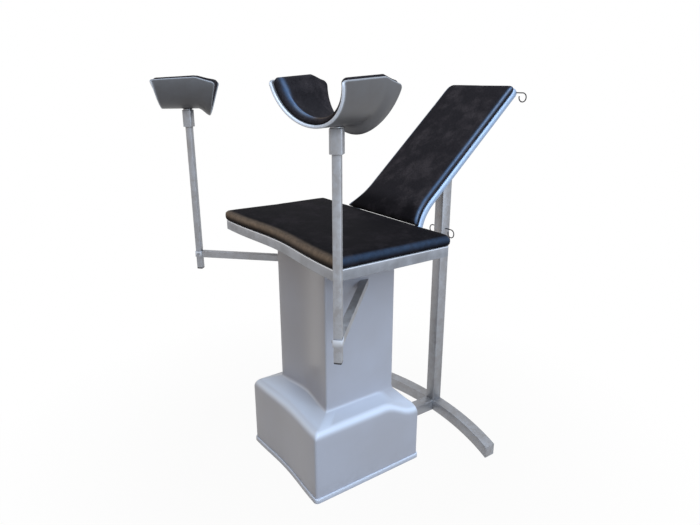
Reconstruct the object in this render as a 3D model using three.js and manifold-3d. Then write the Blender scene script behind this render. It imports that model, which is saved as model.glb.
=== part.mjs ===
// Gynecological chair: a fixed pedestal with a padded seat, a tilting padded backrest on a rear prop,
// and two leg troughs on rods that slide in collars at the ends of two side arms.
// Millimetres, +Z up, -Y is the foot end, +X the sitter's left. The origin lies on the floor under
// the pedestal's axis.
import * as THREE from 'three';
import { mergeVertices } from 'three/addons/utils/BufferGeometryUtils.js';
import Module from 'manifold-3d';

const wasm = await Module();
wasm.setup();

// Clearances and small general values
const seatGap = 0.3; // between pieces that lie on each other
const runningGap = 0.3; // between a pin or rod and its hole
const overrun = 5; // how far a cutting body runs past what it cuts
const roundSides = 16; // sides of a round piece

// Pedestal cover: a plinth that flows into a column, bowed inwards along its front
const plinth = { width: 416, front: 210, rear: 203, corner: 9, bow: 9 };
const column = { width: 290, front: 128, rear: 135, corner: 6, bow: 18 };
const coverWall = 4;
const coverTopGap = 1.5; // below the seat frame
const shoulderBottom = 206;
const shoulderRise = 44;
const shoulderShare = 0.5;
const shoulderRearDrop = 46;
const shoulderDropStart = 60;
const shoulderDropEnd = 180;
const ledgeRise = 14;
const filletShare = 0.1;
const filletRise = 18;

// Trim bead round the foot of the plinth
const skirtThickness = 4;
const skirtHeight = 16;
const skirtRound = 4;

// Steelwork inside the pedestal
const basePlateThickness = 8;
const basePlateMargin = 3;
const innerColumnWidth = 190;
const innerColumnWall = 5;
const headPlateThickness = 8;
const headPlateMargin = 1;

// Seat frame, an angle section bent round the seat
const seat = { width: 672, front: 218, rear: 178, corner: 8, bow: 11 };
const frameBottom = 771;
const frameHeight = 31;
const frameWall = 3;
const frameFlange = 30;
const frameBevel = 2.5;
const frameBevelShare = 0.3; // of the bevel, at its middle
const crossMemberWidth = 30;
const crossMemberSpacing = 140;

// Seat board and seat pad
const seatBoardThickness = 12;
const seatBoardInset = 16;
const seatPadHeight = 33;
const seatPadOverhang = 3;
const seatPadCrown = 4;
const seatPadDrawIn = 2.5;
const seatPadCorner = 7;
const seatPadRound = 10;
// Rows up the pad's side: overhang drawn in, height and drawing in along the edge
const seatPadSideShares = [[1, 0, 0], [0.33, 0.1, 0.3], [0, 0.35, 1], [0.33, 0.65, 1]];
// Rows over its rounded shoulder: rounding, height and drawing in along the edge
const seatPadShoulderShares = [[0.35, 0.85, 1], [1, 0.97, 0.8]];
const seatPadCrownShares = [0.12, 0.3, 0.6]; // of the way from the shoulder to the middle
const seatPadCrownDrawShare = 0.4;

// Leg supports: rods in collars at the ends of the arms
const rodX = 442;
const armEndPlace = 65.5; // where the arm's centre line meets the inner column's side
const rodWidth = 20;
const rodWall = 2;
const rodLength = 513.7;
const rodBelowArm = 50.5;
const rodCapThickness = 4.5;
const rodCapPlug = 16;
const rodInsertion = 22;
const armWidth = 22;
const armWall = 2;
const armDrop = 104.5; // from the seat frame's lower edge to the arm's centre line
const collarWall = 1.6;
const collarHeight = 19;
const collarGap = 0.5;
const tubeCorner = 2;
const collarScrewRadius = 2.5;
const collarScrewHeadRadius = 4.5;
const collarScrewHead = 3;
const sleeveWall = 4.7;
const sleeveHeight = 54;
const sleeveCorner = 4;
const spindleRadius = 6;
const spindleClearance = 4.3; // over the rod's end
const spindleFlangeRadius = 15;
const spindleFlange = 3.5;

// Leg troughs: a bent sheet with a rear lip, lined with a pad
const troughTurn = 22;
const troughRadius = 99;
const troughLean = 1.5;
const troughFront = 83;
const troughRear = 72.5;
const troughFrontRake = 30;
const troughRearRake = 29;
const troughRakePower = 1.5;
const troughFrontSkew = 15; // how much further the outer wing reaches, and the inner one less
const troughRearSkew = 8.5;
const troughWingFront = 143.5;
const troughWingCorner = 156.5;
const troughWingRear = 143;
const troughCornerShare = 0.68;
const troughLipStart = 34;
const troughLipDrop = 23.5;
const troughLipSpread = 101;
const troughWall = 7;
const troughPadThickness = 8;
const troughPadRim = 5;
const troughPadRimShare = 0.2; // of the way in from an edge, where the rim is highest
const troughPadRimSpreadShare = 0.13;
const troughPadSkinShares = [-0.25, 0.12]; // of the way in, where the pad gains its thickness
const troughPadProud = 4;
const troughPadProudPower = 8;
const troughPadSetbackShare = 0.15; // of the grid's first and last step
const troughRows = 10; // steps of the sheet's grid from front to rear
const troughColumns = 20; // and from wing tip to wing tip

// Backrest, in its own plane: s runs up it from the hinge axis and n stands square to it
const hingeReach = 22; // behind the seat frame
const backrestAngle = 42.6;
const backrestBottom = 18;
const backrestTop = 620;
const backrestHalfWidth = 151;
const backrestFlare = 33;
const backrestFlareLength = 105;
const backrestCorner = 24;
const backrestPadTop = 43.5;
const backrestPadThickness = 14;
const backrestPadCrown = 5;
// Rows up the pad's edge: rounding and height
const backrestPadShares = [[0.5, 0], [0, 0.25], [0, 0.55], [0.35, 0.8], [1.2, 0.97]];
const backrestCrownShares = [0.15, 0.35, 0.65]; // of the way from the edge to the middle
const backrestStepPower = 1.7; // power that gathers the outline's points towards the flare
const railRadius = 12.5;
const railWall = 2;
const railInset = 11;
const railTopInset = 6;
const railCorner = 13.5;
const railStart = 16;
const railStraight = 9; // straight piece of the rail above its hinge lug
const backrestBoardThickness = 8;
const crossbarWidth = 20;
const guideBelow = 84; // reach of the guide below and above the glide's place
const guideAbove = 94;

// Backrest hinge
const hingePinRadius = 5;
const hingePinHeadRadius = 8;
const hingePinHead = 4;
const hingeEyeRadius = 12;
const hingePlateThickness = 6;
const hingePlateSpacing = 1;
const lugTabWidth = 18;
const lugTabShare = 0.2; // of the rail's radius, where the tab leaves the eye

// Rear stand: connector bar, crescent foot and post
const standHeight = 42;
const standWall = 2;
const standWidth = 40;
const postFront = 452.5;
const footHalfSpan = 353;
const footSagitta = 62;
const footCapDepth = 8;

// Telescoping prop inside the post
const propReach = 85.5; // from the post's top to the glide
const propLength = 308.5;
const propWall = 2;
const bushWall = 1.4;
const bushDepth = 30;
const bushFlange = 3;
const glideRadius = 15;
const lockScrewRadius = 4;
const lockScrewHeadRadius = 7;
const lockScrewHead = 5;
const lockScrewDrop = 19; // below the post's top
const guideWeb = 5;
const guideCheek = 4;
const guideCheekDepth = 40;

// Bent wire hooks on the post and on the top corners of the backrest's rail
const wireRadius = 1.6;
const hookReach = 27.5;
const hookRadius = 14.5;
const hookSweep = 285;
const postHookDrop = 169; // below the post's top
const backrestHookShare = 0.25; // of the rail's corner, from its side
const hookSteps = 18;
const wireSides = 5;

// Places worked out from the sizes above
const radians = THREE.MathUtils.degToRad;
const frameTop = frameBottom + frameHeight;
const coverTop = frameBottom - coverTopGap;
const innerColumnHalf = innerColumnWidth / 2;
const headPlateTop = frameBottom - seatGap;
const headPlateBottom = headPlateTop - headPlateThickness;
const standHalf = standWidth / 2;
const postCentre = postFront + standHalf;
const footRadius = (footHalfSpan ** 2 + footSagitta ** 2) / (2 * footSagitta);
const footCentre = postFront - footRadius;
const armCentreHeight = frameBottom - armDrop;
const rodY = armEndPlace - (rodX - innerColumnHalf);
const rodBottom = armCentreHeight - rodBelowArm;
const rodTop = rodBottom + rodLength;
const collarWidth = rodWidth + 2 * (collarGap + collarWall);
const sleeveWidth = rodWidth + 2 * (runningGap + sleeveWall);
const sleeveBottom = rodTop + seatGap - rodInsertion;
const sleeveTop = sleeveBottom + sleeveHeight;
const spindleTop = sleeveTop + seatGap + spindleFlange;
const troughBottom = spindleTop + seatGap;
const hingeY = seat.rear + hingeReach;
const hingeZ = frameTop - hingeEyeRadius;
const padBottomPlane = backrestPadTop - backrestPadThickness;
const railPlane = padBottomPlane - seatGap - railRadius;
const boardBottomPlane = padBottomPlane - seatGap - backrestBoardThickness;
const crossbarBottomPlane = boardBottomPlane - seatGap - crossbarWidth;
const guideTopPlane = crossbarBottomPlane - seatGap;
const guideBottomPlane = guideTopPlane - guideWeb;
const glidePlane = guideBottomPlane - seatGap - glideRadius;
const tilt = radians(backrestAngle);
const glidePlace = (postCentre - hingeY + glidePlane * Math.sin(tilt)) / Math.cos(tilt);
const glideHeight = hingeZ + glidePlace * Math.sin(tilt) + glidePlane * Math.cos(tilt);
const lowerCrossbarPlace = glidePlace - guideBelow;
const upperCrossbarPlace = glidePlace + guideAbove;
const propTop = glideHeight - glideRadius - seatGap;
const propBottom = propTop - propLength;
const postTop = propTop - propReach;
const lockScrewHeight = postTop - lockScrewDrop;
const postHookHeight = postTop - postHookDrop;
const propWidth = standWidth - 2 * (standWall + seatGap + bushWall + runningGap);
const guideHalf = standHalf + 2 * runningGap; // the cheeks pass on either side of the post
const glideWidth = 2 * (guideHalf - runningGap);
const railBend = railStart + railStraight;

// Finishes
const finishes = {
  paint: { color: 0xb4b9c8, roughness: 0.35, metalness: 0 },
  galvanised: { color: 0xa6a9ad, roughness: 0.5, metalness: 0.8 },
  steel: { color: 0x8d9096, roughness: 0.45, metalness: 0.9 },
  frameSteel: { color: 0xb0b4bb, roughness: 0.35, metalness: 0.9 },
  shell: { color: 0x76767a, roughness: 0.4, metalness: 0.8 },
  leather: { color: 0x232122, roughness: 0.55, metalness: 0 },
  wood: { color: 0xa88a60, roughness: 0.8, metalness: 0 },
  nylon: { color: 0x2a2a2c, roughness: 0.5, metalness: 0 },
  wire: { color: 0x33333a, roughness: 0.4, metalness: 0.9 },
};

const chair = new THREE.Group();

// Adds one named piece to a group
function addPiece(parent, name, geometry, finish) {
  const mesh = new THREE.Mesh(geometry, new THREE.MeshStandardMaterial(finishes[finish]));
  mesh.name = name;
  parent.add(mesh);
  return mesh;
}

// Volume of a closed mesh, negative when its faces point inwards
function signedVolume(positions, index) {
  const a = new THREE.Vector3();
  const b = new THREE.Vector3();
  const c = new THREE.Vector3();
  let sum = 0;
  for (let i = 0; i < index.length; i += 3) {
    a.fromArray(positions, index[i] * 3);
    b.fromArray(positions, index[i + 1] * 3);
    c.fromArray(positions, index[i + 2] * 3);
    sum += a.dot(b.cross(c));
  }
  return sum;
}

// Indexed geometry from points and triangles, turned so that its faces point outwards
function closedGeometry(positions, index) {
  const faces = [...index];
  if (signedVolume(positions, faces) < 0) {
    for (let i = 0; i < faces.length; i += 3) [faces[i], faces[i + 1]] = [faces[i + 1], faces[i]];
  }
  const geometry = new THREE.BufferGeometry();
  geometry.setAttribute('position', new THREE.BufferAttribute(new Float32Array(positions), 3));
  geometry.setIndex(faces);
  return geometry;
}

// Joins or cuts closed geometries
function solidOf(geometry) {
  const plain = geometry.clone();
  plain.deleteAttribute('normal');
  plain.deleteAttribute('uv');
  const merged = mergeVertices(plain);
  const vertProperties = new Float32Array(merged.attributes.position.array);
  const triVerts = new Uint32Array(merged.index.array);
  return new wasm.Manifold(new wasm.Mesh({ numProp: 3, vertProperties, triVerts }));
}

function geometryOf(solid) {
  const mesh = solid.getMesh();
  return closedGeometry(Array.from(mesh.vertProperties), Array.from(mesh.triVerts));
}

function cut(geometry, ...tools) {
  return geometryOf(tools.reduce((rest, tool) => rest.subtract(solidOf(tool)), solidOf(geometry)));
}

function join(geometry, ...others) {
  return geometryOf(others.reduce((sum, other) => sum.add(solidOf(other)), solidOf(geometry)));
}

// Extrudes a plan outline from one height to another
function slab(outline, bottom, top) {
  const shape = outline instanceof THREE.Shape ? outline : new THREE.Shape(outline);
  const geometry = new THREE.ExtrudeGeometry(shape, { depth: top - bottom, bevelEnabled: false });
  return geometry.translate(0, 0, bottom);
}

// Box between two corners
function block(low, high) {
  const size = high.map((value, i) => value - low[i]);
  const geometry = new THREE.BoxGeometry(...size);
  return geometry.translate(...low.map((value, i) => value + size[i] / 2));
}

// Upright cylinder between two heights
function roundBar(radius, bottom, top) {
  const geometry = new THREE.CylinderGeometry(radius, radius, top - bottom, roundSides);
  return geometry.rotateX(Math.PI / 2).translate(0, 0, (top + bottom) / 2);
}

// Square outline with small rounded corners, centred on the origin
function squareOutline(width, depth, corner, cornerSteps = 2) {
  const points = [];
  const corners = [[1, 1], [-1, 1], [-1, -1], [1, -1]];
  corners.forEach(([signX, signY], quarter) => {
    for (let i = 0; i <= cornerSteps; i += 1) {
      const angle = (quarter + i / cornerSteps) * (Math.PI / 2);
      const x = signX * (width / 2 - corner) + corner * Math.cos(angle);
      const y = signY * (depth / 2 - corner) + corner * Math.sin(angle);
      points.push(new THREE.Vector2(x, y));
    }
  });
  return points;
}

// Square tube standing upright
function squareTube(width, depth, wall, corner, bottom, top) {
  const shape = new THREE.Shape(squareOutline(width, depth, corner));
  const hollow = squareOutline(width - 2 * wall, depth - 2 * wall, Math.max(corner - wall, wall / 4), 1);
  shape.holes.push(new THREE.Path(hollow));
  return slab(shape, bottom, top);
}

// Solid from rings of equal count. A loop of rings joins its last ring to its first, and an open
// stack is capped at both ends.
function ringSolid(rings, isLoop) {
  const count = rings[0].length;
  const positions = rings.flat().flatMap((point) => point.toArray());
  const index = [];
  const spans = isLoop ? rings.length : rings.length - 1;
  for (let r = 0; r < spans; r += 1) {
    const low = r * count;
    const high = ((r + 1) % rings.length) * count;
    for (let i = 0; i < count; i += 1) {
      const next = (i + 1) % count;
      index.push(low + i, low + next, high + next, low + i, high + next, high + i);
    }
  }
  if (!isLoop) {
    for (const [ring, turned] of [[0, true], [rings.length - 1, false]]) {
      const centre = new THREE.Vector3();
      rings[ring].forEach((point) => centre.add(point));
      centre.divideScalar(count);
      const hub = positions.length / 3;
      positions.push(...centre.toArray());
      for (let i = 0; i < count; i += 1) {
        const a = ring * count + i;
        const b = ring * count + ((i + 1) % count);
        index.push(...(turned ? [hub, b, a] : [hub, a, b]));
      }
    }
  }
  return closedGeometry(positions, index);
}

// Plan outline of a rounded rectangle whose front edge bows inwards and whose other sides may be
// drawn in. Every outline of one piece has the same number of points.
function bowedOutline(size, inset, height, drawIn = 0) {
  const { width, front, rear, bow } = size;
  const corner = Math.max(size.corner - inset, size.corner / 4);
  const half = width / 2 - inset;
  const low = -front + inset;
  const high = rear - inset;
  const frontSteps = 10;
  const sideSteps = 8;
  const cornerSteps = 3;
  const points = [];
  const add = (x, y) => {
    const bowed = y < (low + high) / 2 ? bow * Math.cos(Math.PI * x / width) ** 2 : 0;
    const reach = THREE.MathUtils.clamp((y - low) / (high - low), 0, 1);
    const pull = drawIn * (1 - (2 * reach - 1) ** 2) * Math.min(Math.abs(x) / half, 1);
    const rearPull = y > (low + high) / 2 ? drawIn * Math.cos(Math.PI * x / width) ** 2 : 0;
    const share = THREE.MathUtils.clamp((high - y) / (high - low), 0, 1);
    points.push(new THREE.Vector3(x - Math.sign(x) * pull, y + bowed * share - rearPull, height));
  };
  const arc = (centreX, centreY, start) => {
    for (let i = 0; i <= cornerSteps; i += 1) {
      const angle = start + (i / cornerSteps) * (Math.PI / 2);
      add(centreX + corner * Math.cos(angle), centreY + corner * Math.sin(angle));
    }
  };
  const line = (x0, y0, x1, y1, steps) => {
    for (let i = 1; i < steps; i += 1) {
      add(x0 + (x1 - x0) * i / steps, y0 + (y1 - y0) * i / steps);
    }
  };
  arc(-half + corner, low + corner, Math.PI);
  line(-half + corner, low, half - corner, low, frontSteps);
  arc(half - corner, low + corner, -Math.PI / 2);
  line(half, low + corner, half, high - corner, sideSteps);
  arc(half - corner, high - corner, 0);
  line(half - corner, high, -half + corner, high, sideSteps);
  arc(-half + corner, high - corner, Math.PI / 2);
  line(-half, high - corner, -half, low + corner, sideSteps);
  return points;
}

// Plan size part of the way from the column to the plinth
function pedestalSize(spread) {
  const size = {};
  for (const key of Object.keys(plinth)) {
    size[key] = column[key] + spread * (plinth[key] - column[key]);
  }
  return size;
}

// Rows of the pedestal's profile: spread towards the plinth, height and how level the surface lies
function pedestalProfile() {
  const shoulderSteps = 5;
  const filletSteps = 3;
  const rows = [{ spread: 1, height: 0, level: 0 }];
  for (let i = 0; i <= shoulderSteps; i += 1) {
    const angle = (i / shoulderSteps) * (Math.PI / 2);
    const spread = 1 - shoulderShare * (1 - Math.cos(angle));
    rows.push({ spread, height: shoulderBottom + shoulderRise * Math.sin(angle), level: Math.sin(angle) });
  }
  const ledgeTop = shoulderBottom + shoulderRise + ledgeRise;
  for (let i = 0; i <= filletSteps; i += 1) {
    const angle = (i / filletSteps) * (Math.PI / 2);
    const spread = filletShare * (1 - Math.sin(angle));
    rows.push({ spread, height: ledgeTop + filletRise * (1 - Math.cos(angle)), level: Math.cos(angle) });
  }
  rows.push({ spread: 0, height: coverTop, level: 0 });
  return rows;
}

// One row of the pedestal as a ring whose shoulder sinks towards the rear
function pedestalRing({ spread, height, level }, inset) {
  const ring = bowedOutline(pedestalSize(spread), inset, height - level * inset);
  if (height > 0) {
    ring.forEach((point) => {
      const share = THREE.MathUtils.smoothstep(point.y, shoulderDropStart, shoulderDropEnd);
      point.z -= shoulderRearDrop * spread * share;
    });
  }
  return ring;
}

// Plan outline of an arm from its collar to the inner column, in the arm's own layer
function armOutline(side, halfWidth, collarEnd, columnEnd) {
  const slope = Math.SQRT1_2;
  const corner = (offset, reach) => {
    const along = reach ?? (rodX + offset * slope - columnEnd) / slope;
    const x = rodX + offset * slope - along * slope;
    const y = rodY + offset * slope + along * slope;
    return new THREE.Vector2(side * x, y);
  };
  return [corner(-halfWidth, collarEnd), corner(halfWidth, collarEnd), corner(halfWidth), corner(-halfWidth)];
}

function armGeometry(side) {
  const halfHeight = armWidth / 2;
  const collarEnd = collarWidth / 2 + seatGap;
  const columnEnd = innerColumnHalf + seatGap;
  const outer = slab(
    armOutline(side, armWidth / 2, collarEnd, columnEnd),
    armCentreHeight - halfHeight,
    armCentreHeight + halfHeight,
  );
  const bore = slab(
    armOutline(side, armWidth / 2 - armWall, collarEnd - overrun, columnEnd - overrun),
    armCentreHeight - halfHeight + armWall,
    armCentreHeight + halfHeight - armWall,
  );
  return cut(outer, bore);
}

// Opening that an arm passes through in the cover's side
function armWindow(side) {
  const half = armWidth / 2 + 2 * seatGap;
  const outline = armOutline(side, half, collarWidth, innerColumnHalf);
  return slab(outline, armCentreHeight - half, armCentreHeight + half);
}

// Notch at floor level where the connector bar passes out of the plinth
function connectorNotch() {
  const half = standHalf + 2 * seatGap;
  const rearReach = plinth.rear + skirtThickness + overrun;
  return block([-half, 0, -overrun], [half, rearReach, standHeight + 2 * seatGap]);
}

function addPedestal() {
  const rows = pedestalProfile();
  const outer = rows.map((row) => pedestalRing(row, 0));
  const inner = rows.map((row) => pedestalRing(row, coverWall));
  const cover = ringSolid([...outer, ...inner.reverse()], true);
  addPiece(chair, 'pedestal_cover', cut(cover, armWindow(1), armWindow(-1), connectorNotch()), 'paint');

  const skirtRows = [
    [seatGap, 0],
    [seatGap + skirtThickness, 0],
    [seatGap + skirtThickness, skirtHeight - skirtRound],
    [seatGap + skirtThickness - skirtRound / 4, skirtHeight - skirtRound / 3],
    [seatGap + skirtThickness - skirtRound / 2, skirtHeight],
    [seatGap, skirtHeight],
  ];
  const skirt = ringSolid(skirtRows.map(([proud, height]) => bowedOutline(pedestalSize(1), -proud, height)), true);
  addPiece(chair, 'plinth_skirt', cut(skirt, connectorNotch()), 'paint');

  const plateInset = coverWall + basePlateMargin;
  const basePlate = [0, basePlateThickness].map((height) => bowedOutline(pedestalSize(1), plateInset, height));
  addPiece(chair, 'base_plate', ringSolid(basePlate, false), 'steel');

  const innerColumn = squareTube(
    innerColumnWidth, innerColumnWidth, innerColumnWall, innerColumnWall,
    basePlateThickness + seatGap, headPlateBottom - seatGap,
  );
  addPiece(chair, 'inner_column', innerColumn, 'steel');

  const headInset = coverWall + headPlateMargin;
  const headPlate = [headPlateBottom, headPlateTop].map((height) => (
    bowedOutline(pedestalSize(0), headInset, height)
  ));
  addPiece(chair, 'head_plate', ringSolid(headPlate, false), 'steel');
}

function addSeat() {
  const frameRows = [
    [0, frameBottom],
    [0, frameTop - frameBevel],
    [frameBevel * frameBevelShare, frameTop - frameBevel * frameBevelShare],
    [frameBevel, frameTop],
    [frameFlange, frameTop],
    [frameFlange, frameTop - frameWall],
    [frameWall, frameTop - frameWall],
    [frameWall, frameBottom],
  ];
  const frame = ringSolid(frameRows.map(([inset, height]) => bowedOutline(seat, inset, height)), true);
  addPiece(chair, 'seat_frame', frame, 'frameSteel');

  const crossHalf = seat.width / 2 - frameWall - seatGap;
  for (const [name, side] of [['seat_cross_front', -1], ['seat_cross_rear', 1]]) {
    const centre = side * crossMemberSpacing / 2;
    const cross = block(
      [-crossHalf, centre - crossMemberWidth / 2, frameBottom],
      [crossHalf, centre + crossMemberWidth / 2, frameTop - frameWall - seatGap],
    );
    addPiece(chair, name, cross, 'steel');
  }

  const boardBottom = frameTop + seatGap;
  const boardTop = boardBottom + seatBoardThickness;
  const board = [boardBottom, boardTop].map((height) => bowedOutline(seat, seatBoardInset, height));
  addPiece(chair, 'seat_board', ringSolid(board, false), 'wood');
  addPiece(chair, 'seat_pad', seatPadGeometry(boardBottom, boardTop), 'leather');
}

// Seat pad: crowned on top, drawn in along its sides, hollowed underneath for its board
function seatPadGeometry(bottom, boardTop) {
  const size = {
    width: seat.width + 2 * seatPadOverhang,
    front: seat.front + seatPadOverhang,
    rear: seat.rear + seatPadOverhang,
    corner: seatPadCorner,
    bow: seat.bow,
  };
  const recessInset = seatBoardInset + seatPadOverhang - 2 * seatGap;
  const rows = [[recessInset, boardTop + seatGap, 0], [recessInset, bottom, 0]];
  const climb = (shares, width) => {
    for (const [inset, height, drawIn] of shares) {
      rows.push([inset * width, bottom + seatPadHeight * height, drawIn]);
    }
  };
  climb(seatPadSideShares, seatPadOverhang);
  climb(seatPadShoulderShares, seatPadRound);
  for (const share of seatPadCrownShares) {
    const rise = seatPadCrown * Math.sin(share * Math.PI / 2);
    rows.push([seatPadRound + share * size.rear, bottom + seatPadHeight + rise, seatPadCrownDrawShare]);
  }
  return ringSolid(rows.map(([inset, height, drawIn]) => (
    bowedOutline(size, inset, height, drawIn * seatPadDrawIn)
  )), false);
}

// Pose of a leg support: its own group at the rod's axis, turned 45 degrees like its arm
function legGroup(side, turn) {
  const group = new THREE.Group();
  group.position.set(side * rodX, rodY, 0);
  group.rotation.z = side * turn;
  chair.add(group);
  return group;
}

function sleeveGeometry() {
  const body = slab(squareOutline(sleeveWidth, sleeveWidth, sleeveCorner), sleeveBottom, sleeveTop);
  const socketHalf = rodWidth / 2 + runningGap;
  const socket = block(
    [-socketHalf, -socketHalf, sleeveBottom - overrun],
    [socketHalf, socketHalf, rodTop + seatGap],
  );
  const bore = roundBar(spindleRadius + runningGap, rodTop, sleeveTop + overrun);
  return cut(body, socket, bore);
}

function rodCapGeometry() {
  const capTop = rodBottom - seatGap;
  const chamfer = rodCapThickness / 3;
  const rings = [
    [rodWidth - 2 * chamfer, capTop - rodCapThickness],
    [rodWidth, capTop - rodCapThickness + chamfer],
    [rodWidth, capTop],
  ].map(([width, height]) => (
    squareOutline(width, width, tubeCorner).map((point) => new THREE.Vector3(point.x, point.y, height))
  ));
  const plugWidth = rodWidth - 2 * rodWall - 2 * seatGap;
  const plug = slab(squareOutline(plugWidth, plugWidth, tubeCorner), capTop - chamfer, capTop + rodCapPlug);
  return join(ringSolid(rings, false), plug);
}

function spindleGeometry() {
  const profile = [
    [0, rodTop + spindleClearance],
    [spindleRadius, rodTop + spindleClearance],
    [spindleRadius, sleeveTop + seatGap],
    [spindleFlangeRadius, sleeveTop + seatGap],
    [spindleFlangeRadius, spindleTop],
    [0, spindleTop],
  ].map(([radius, height]) => new THREE.Vector2(radius, height));
  return new THREE.LatheGeometry(profile, roundSides).rotateX(Math.PI / 2);
}

// Collar with a threaded hole for its clamping screw
function collarGeometry() {
  const bore = rodWidth / 2 + collarGap;
  const bottom = armCentreHeight - collarHeight / 2;
  const ring = squareTube(collarWidth, collarWidth, collarWidth / 2 - bore, tubeCorner, bottom, bottom + collarHeight);
  return cut(ring, screwAcross(collarScrewRadius + runningGap, 0, collarWidth));
}

// Round bar pointing to the front at the collar's height
function screwAcross(radius, near, far) {
  return roundBar(radius, near, far).rotateX(Math.PI / 2).translate(0, 0, armCentreHeight);
}

function collarScrewGeometry() {
  const tip = rodWidth / 2 + seatGap;
  const face = collarWidth / 2 + seatGap;
  const shank = screwAcross(collarScrewRadius, tip, face + seatGap);
  return join(shank, screwAcross(collarScrewHeadRadius, face, face + collarScrewHead));
}

// Point of a trough's sheet: across from the inner wing's tip to the outer one's, along from front
// edge to rear edge, depth inwards from the outer face
function troughPoint(side, across, along, depth, proud = 0) {
  const rake = Math.abs(across) ** troughRakePower;
  const front = troughFront + troughFrontRake * rake + troughFrontSkew * across;
  const rear = troughRear + troughRearRake * rake + troughRearSkew * across;
  const reach = front - (front + rear) * along;
  const corner = troughCornerShare;
  const wing = along < corner
    ? troughWingFront + (troughWingCorner - troughWingFront) * along / corner
    : troughWingCorner + (troughWingRear - troughWingCorner) * (along - corner) / (1 - corner);
  const length = across * wing + Math.sign(across) * proud * across ** troughPadProudPower;
  const bend = radians(90 - troughLean);
  const angle = Math.min(Math.abs(length) / troughRadius, bend);
  const straight = Math.max(Math.abs(length) - bend * troughRadius, 0);
  const x = troughRadius * Math.sin(angle) + straight * Math.cos(bend) - depth * Math.sin(angle);
  const z = troughRadius * (1 - Math.cos(angle)) + straight * Math.sin(bend) + depth * Math.cos(angle);
  const lip = THREE.MathUtils.smoothstep(-reach, troughLipStart, troughRear);
  const drop = troughLipDrop * lip * Math.exp(-((length / troughLipSpread) ** 2));
  return new THREE.Vector3(side * Math.sign(length) * x, -reach, troughBottom + z - drop);
}

// Closed solid between an outer and an inner sheet on one grid
function sheetSolid(outerPoint, innerPoint, acrossSteps = troughColumns, alongSteps = troughRows) {
  const rows = acrossSteps + 1;
  const columns = alongSteps + 1;
  const positions = [];
  for (const sheet of [outerPoint, innerPoint]) {
    for (let i = 0; i < rows; i += 1) {
      for (let j = 0; j < columns; j += 1) {
        positions.push(...sheet(2 * i / acrossSteps - 1, j / alongSteps).toArray());
      }
    }
  }
  const index = [];
  const layer = rows * columns;
  const at = (level, i, j) => level * layer + i * columns + j;
  const quad = (a, b, c, d) => index.push(a, b, c, a, c, d);
  for (let i = 0; i < acrossSteps; i += 1) {
    for (let j = 0; j < alongSteps; j += 1) {
      quad(at(0, i, j), at(0, i + 1, j), at(0, i + 1, j + 1), at(0, i, j + 1));
      quad(at(1, i, j), at(1, i, j + 1), at(1, i + 1, j + 1), at(1, i + 1, j));
    }
    quad(at(0, i, 0), at(1, i, 0), at(1, i + 1, 0), at(0, i + 1, 0));
    quad(at(0, i, alongSteps), at(0, i + 1, alongSteps), at(1, i + 1, alongSteps), at(1, i, alongSteps));
  }
  for (let j = 0; j < alongSteps; j += 1) {
    quad(at(0, 0, j), at(0, 0, j + 1), at(1, 0, j + 1), at(1, 0, j));
    quad(at(0, acrossSteps, j), at(1, acrossSteps, j), at(1, acrossSteps, j + 1), at(0, acrossSteps, j + 1));
  }
  return closedGeometry(positions, index);
}

function troughShellGeometry(side) {
  const outer = (across, along) => troughPoint(side, across, along, 0);
  const inner = (across, along) => troughPoint(side, across, along, troughWall);
  return sheetSolid(outer, inner);
}

// Trough pad: a raised rim round a hollow middle, standing proud of the shell's wing tips. Its rows
// follow the shell's rows, and its first and last row are set back a little within their step.
function troughPadGeometry(side) {
  const back = troughWall + seatGap;
  const thickness = (across, along) => {
    const edge = Math.min(1 - Math.abs(across), 2 * along, 2 * (1 - along));
    const rim = Math.exp(-(((edge - troughPadRimShare) / troughPadRimSpreadShare) ** 2));
    const skin = THREE.MathUtils.smoothstep(edge, ...troughPadSkinShares);
    return troughPadThickness * skin + troughPadRim * rim;
  };
  const setBack = (depthAt) => (across, along) => {
    const point = troughPoint(side, across, along, depthAt(across, along), troughPadProud);
    if (along > 0 && along < 1) return point;
    const inside = along ? 1 - 1 / troughRows : 1 / troughRows;
    const next = troughPoint(side, across, inside, depthAt(across, along), troughPadProud);
    return point.lerp(next, troughPadSetbackShare);
  };
  return sheetSolid(setBack(() => back), setBack((across, along) => back + thickness(across, along)));
}

function addLegSupports() {
  for (const [word, side] of [['right', 1], ['left', -1]]) {
    addPiece(chair, `arm_${word}`, armGeometry(side), 'galvanised');
    const leg = legGroup(side, -Math.PI / 4);
    const rod = squareTube(rodWidth, rodWidth, rodWall, tubeCorner, rodBottom, rodTop);
    addPiece(leg, `rod_${word}`, rod, 'galvanised');
    addPiece(leg, `rod_cap_${word}`, rodCapGeometry(), 'nylon');
    addPiece(leg, `sleeve_${word}`, sleeveGeometry(), 'galvanised');
    addPiece(leg, `collar_${word}`, collarGeometry(), 'galvanised');
    addPiece(leg, `collar_screw_${word}`, collarScrewGeometry(), 'steel');
    const trough = legGroup(side, radians(troughTurn));
    addPiece(trough, `spindle_${word}`, spindleGeometry(), 'steel');
    addPiece(trough, `trough_shell_${word}`, troughShellGeometry(side), 'shell');
    addPiece(trough, `trough_pad_${word}`, troughPadGeometry(side), 'leather');
  }
}

// Half width of the backrest at a place up its length
function backrestHalf(place) {
  const below = Math.max(backrestBottom + backrestFlareLength - place, 0) / backrestFlareLength;
  return backrestHalfWidth + backrestFlare * below ** 2;
}

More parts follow.
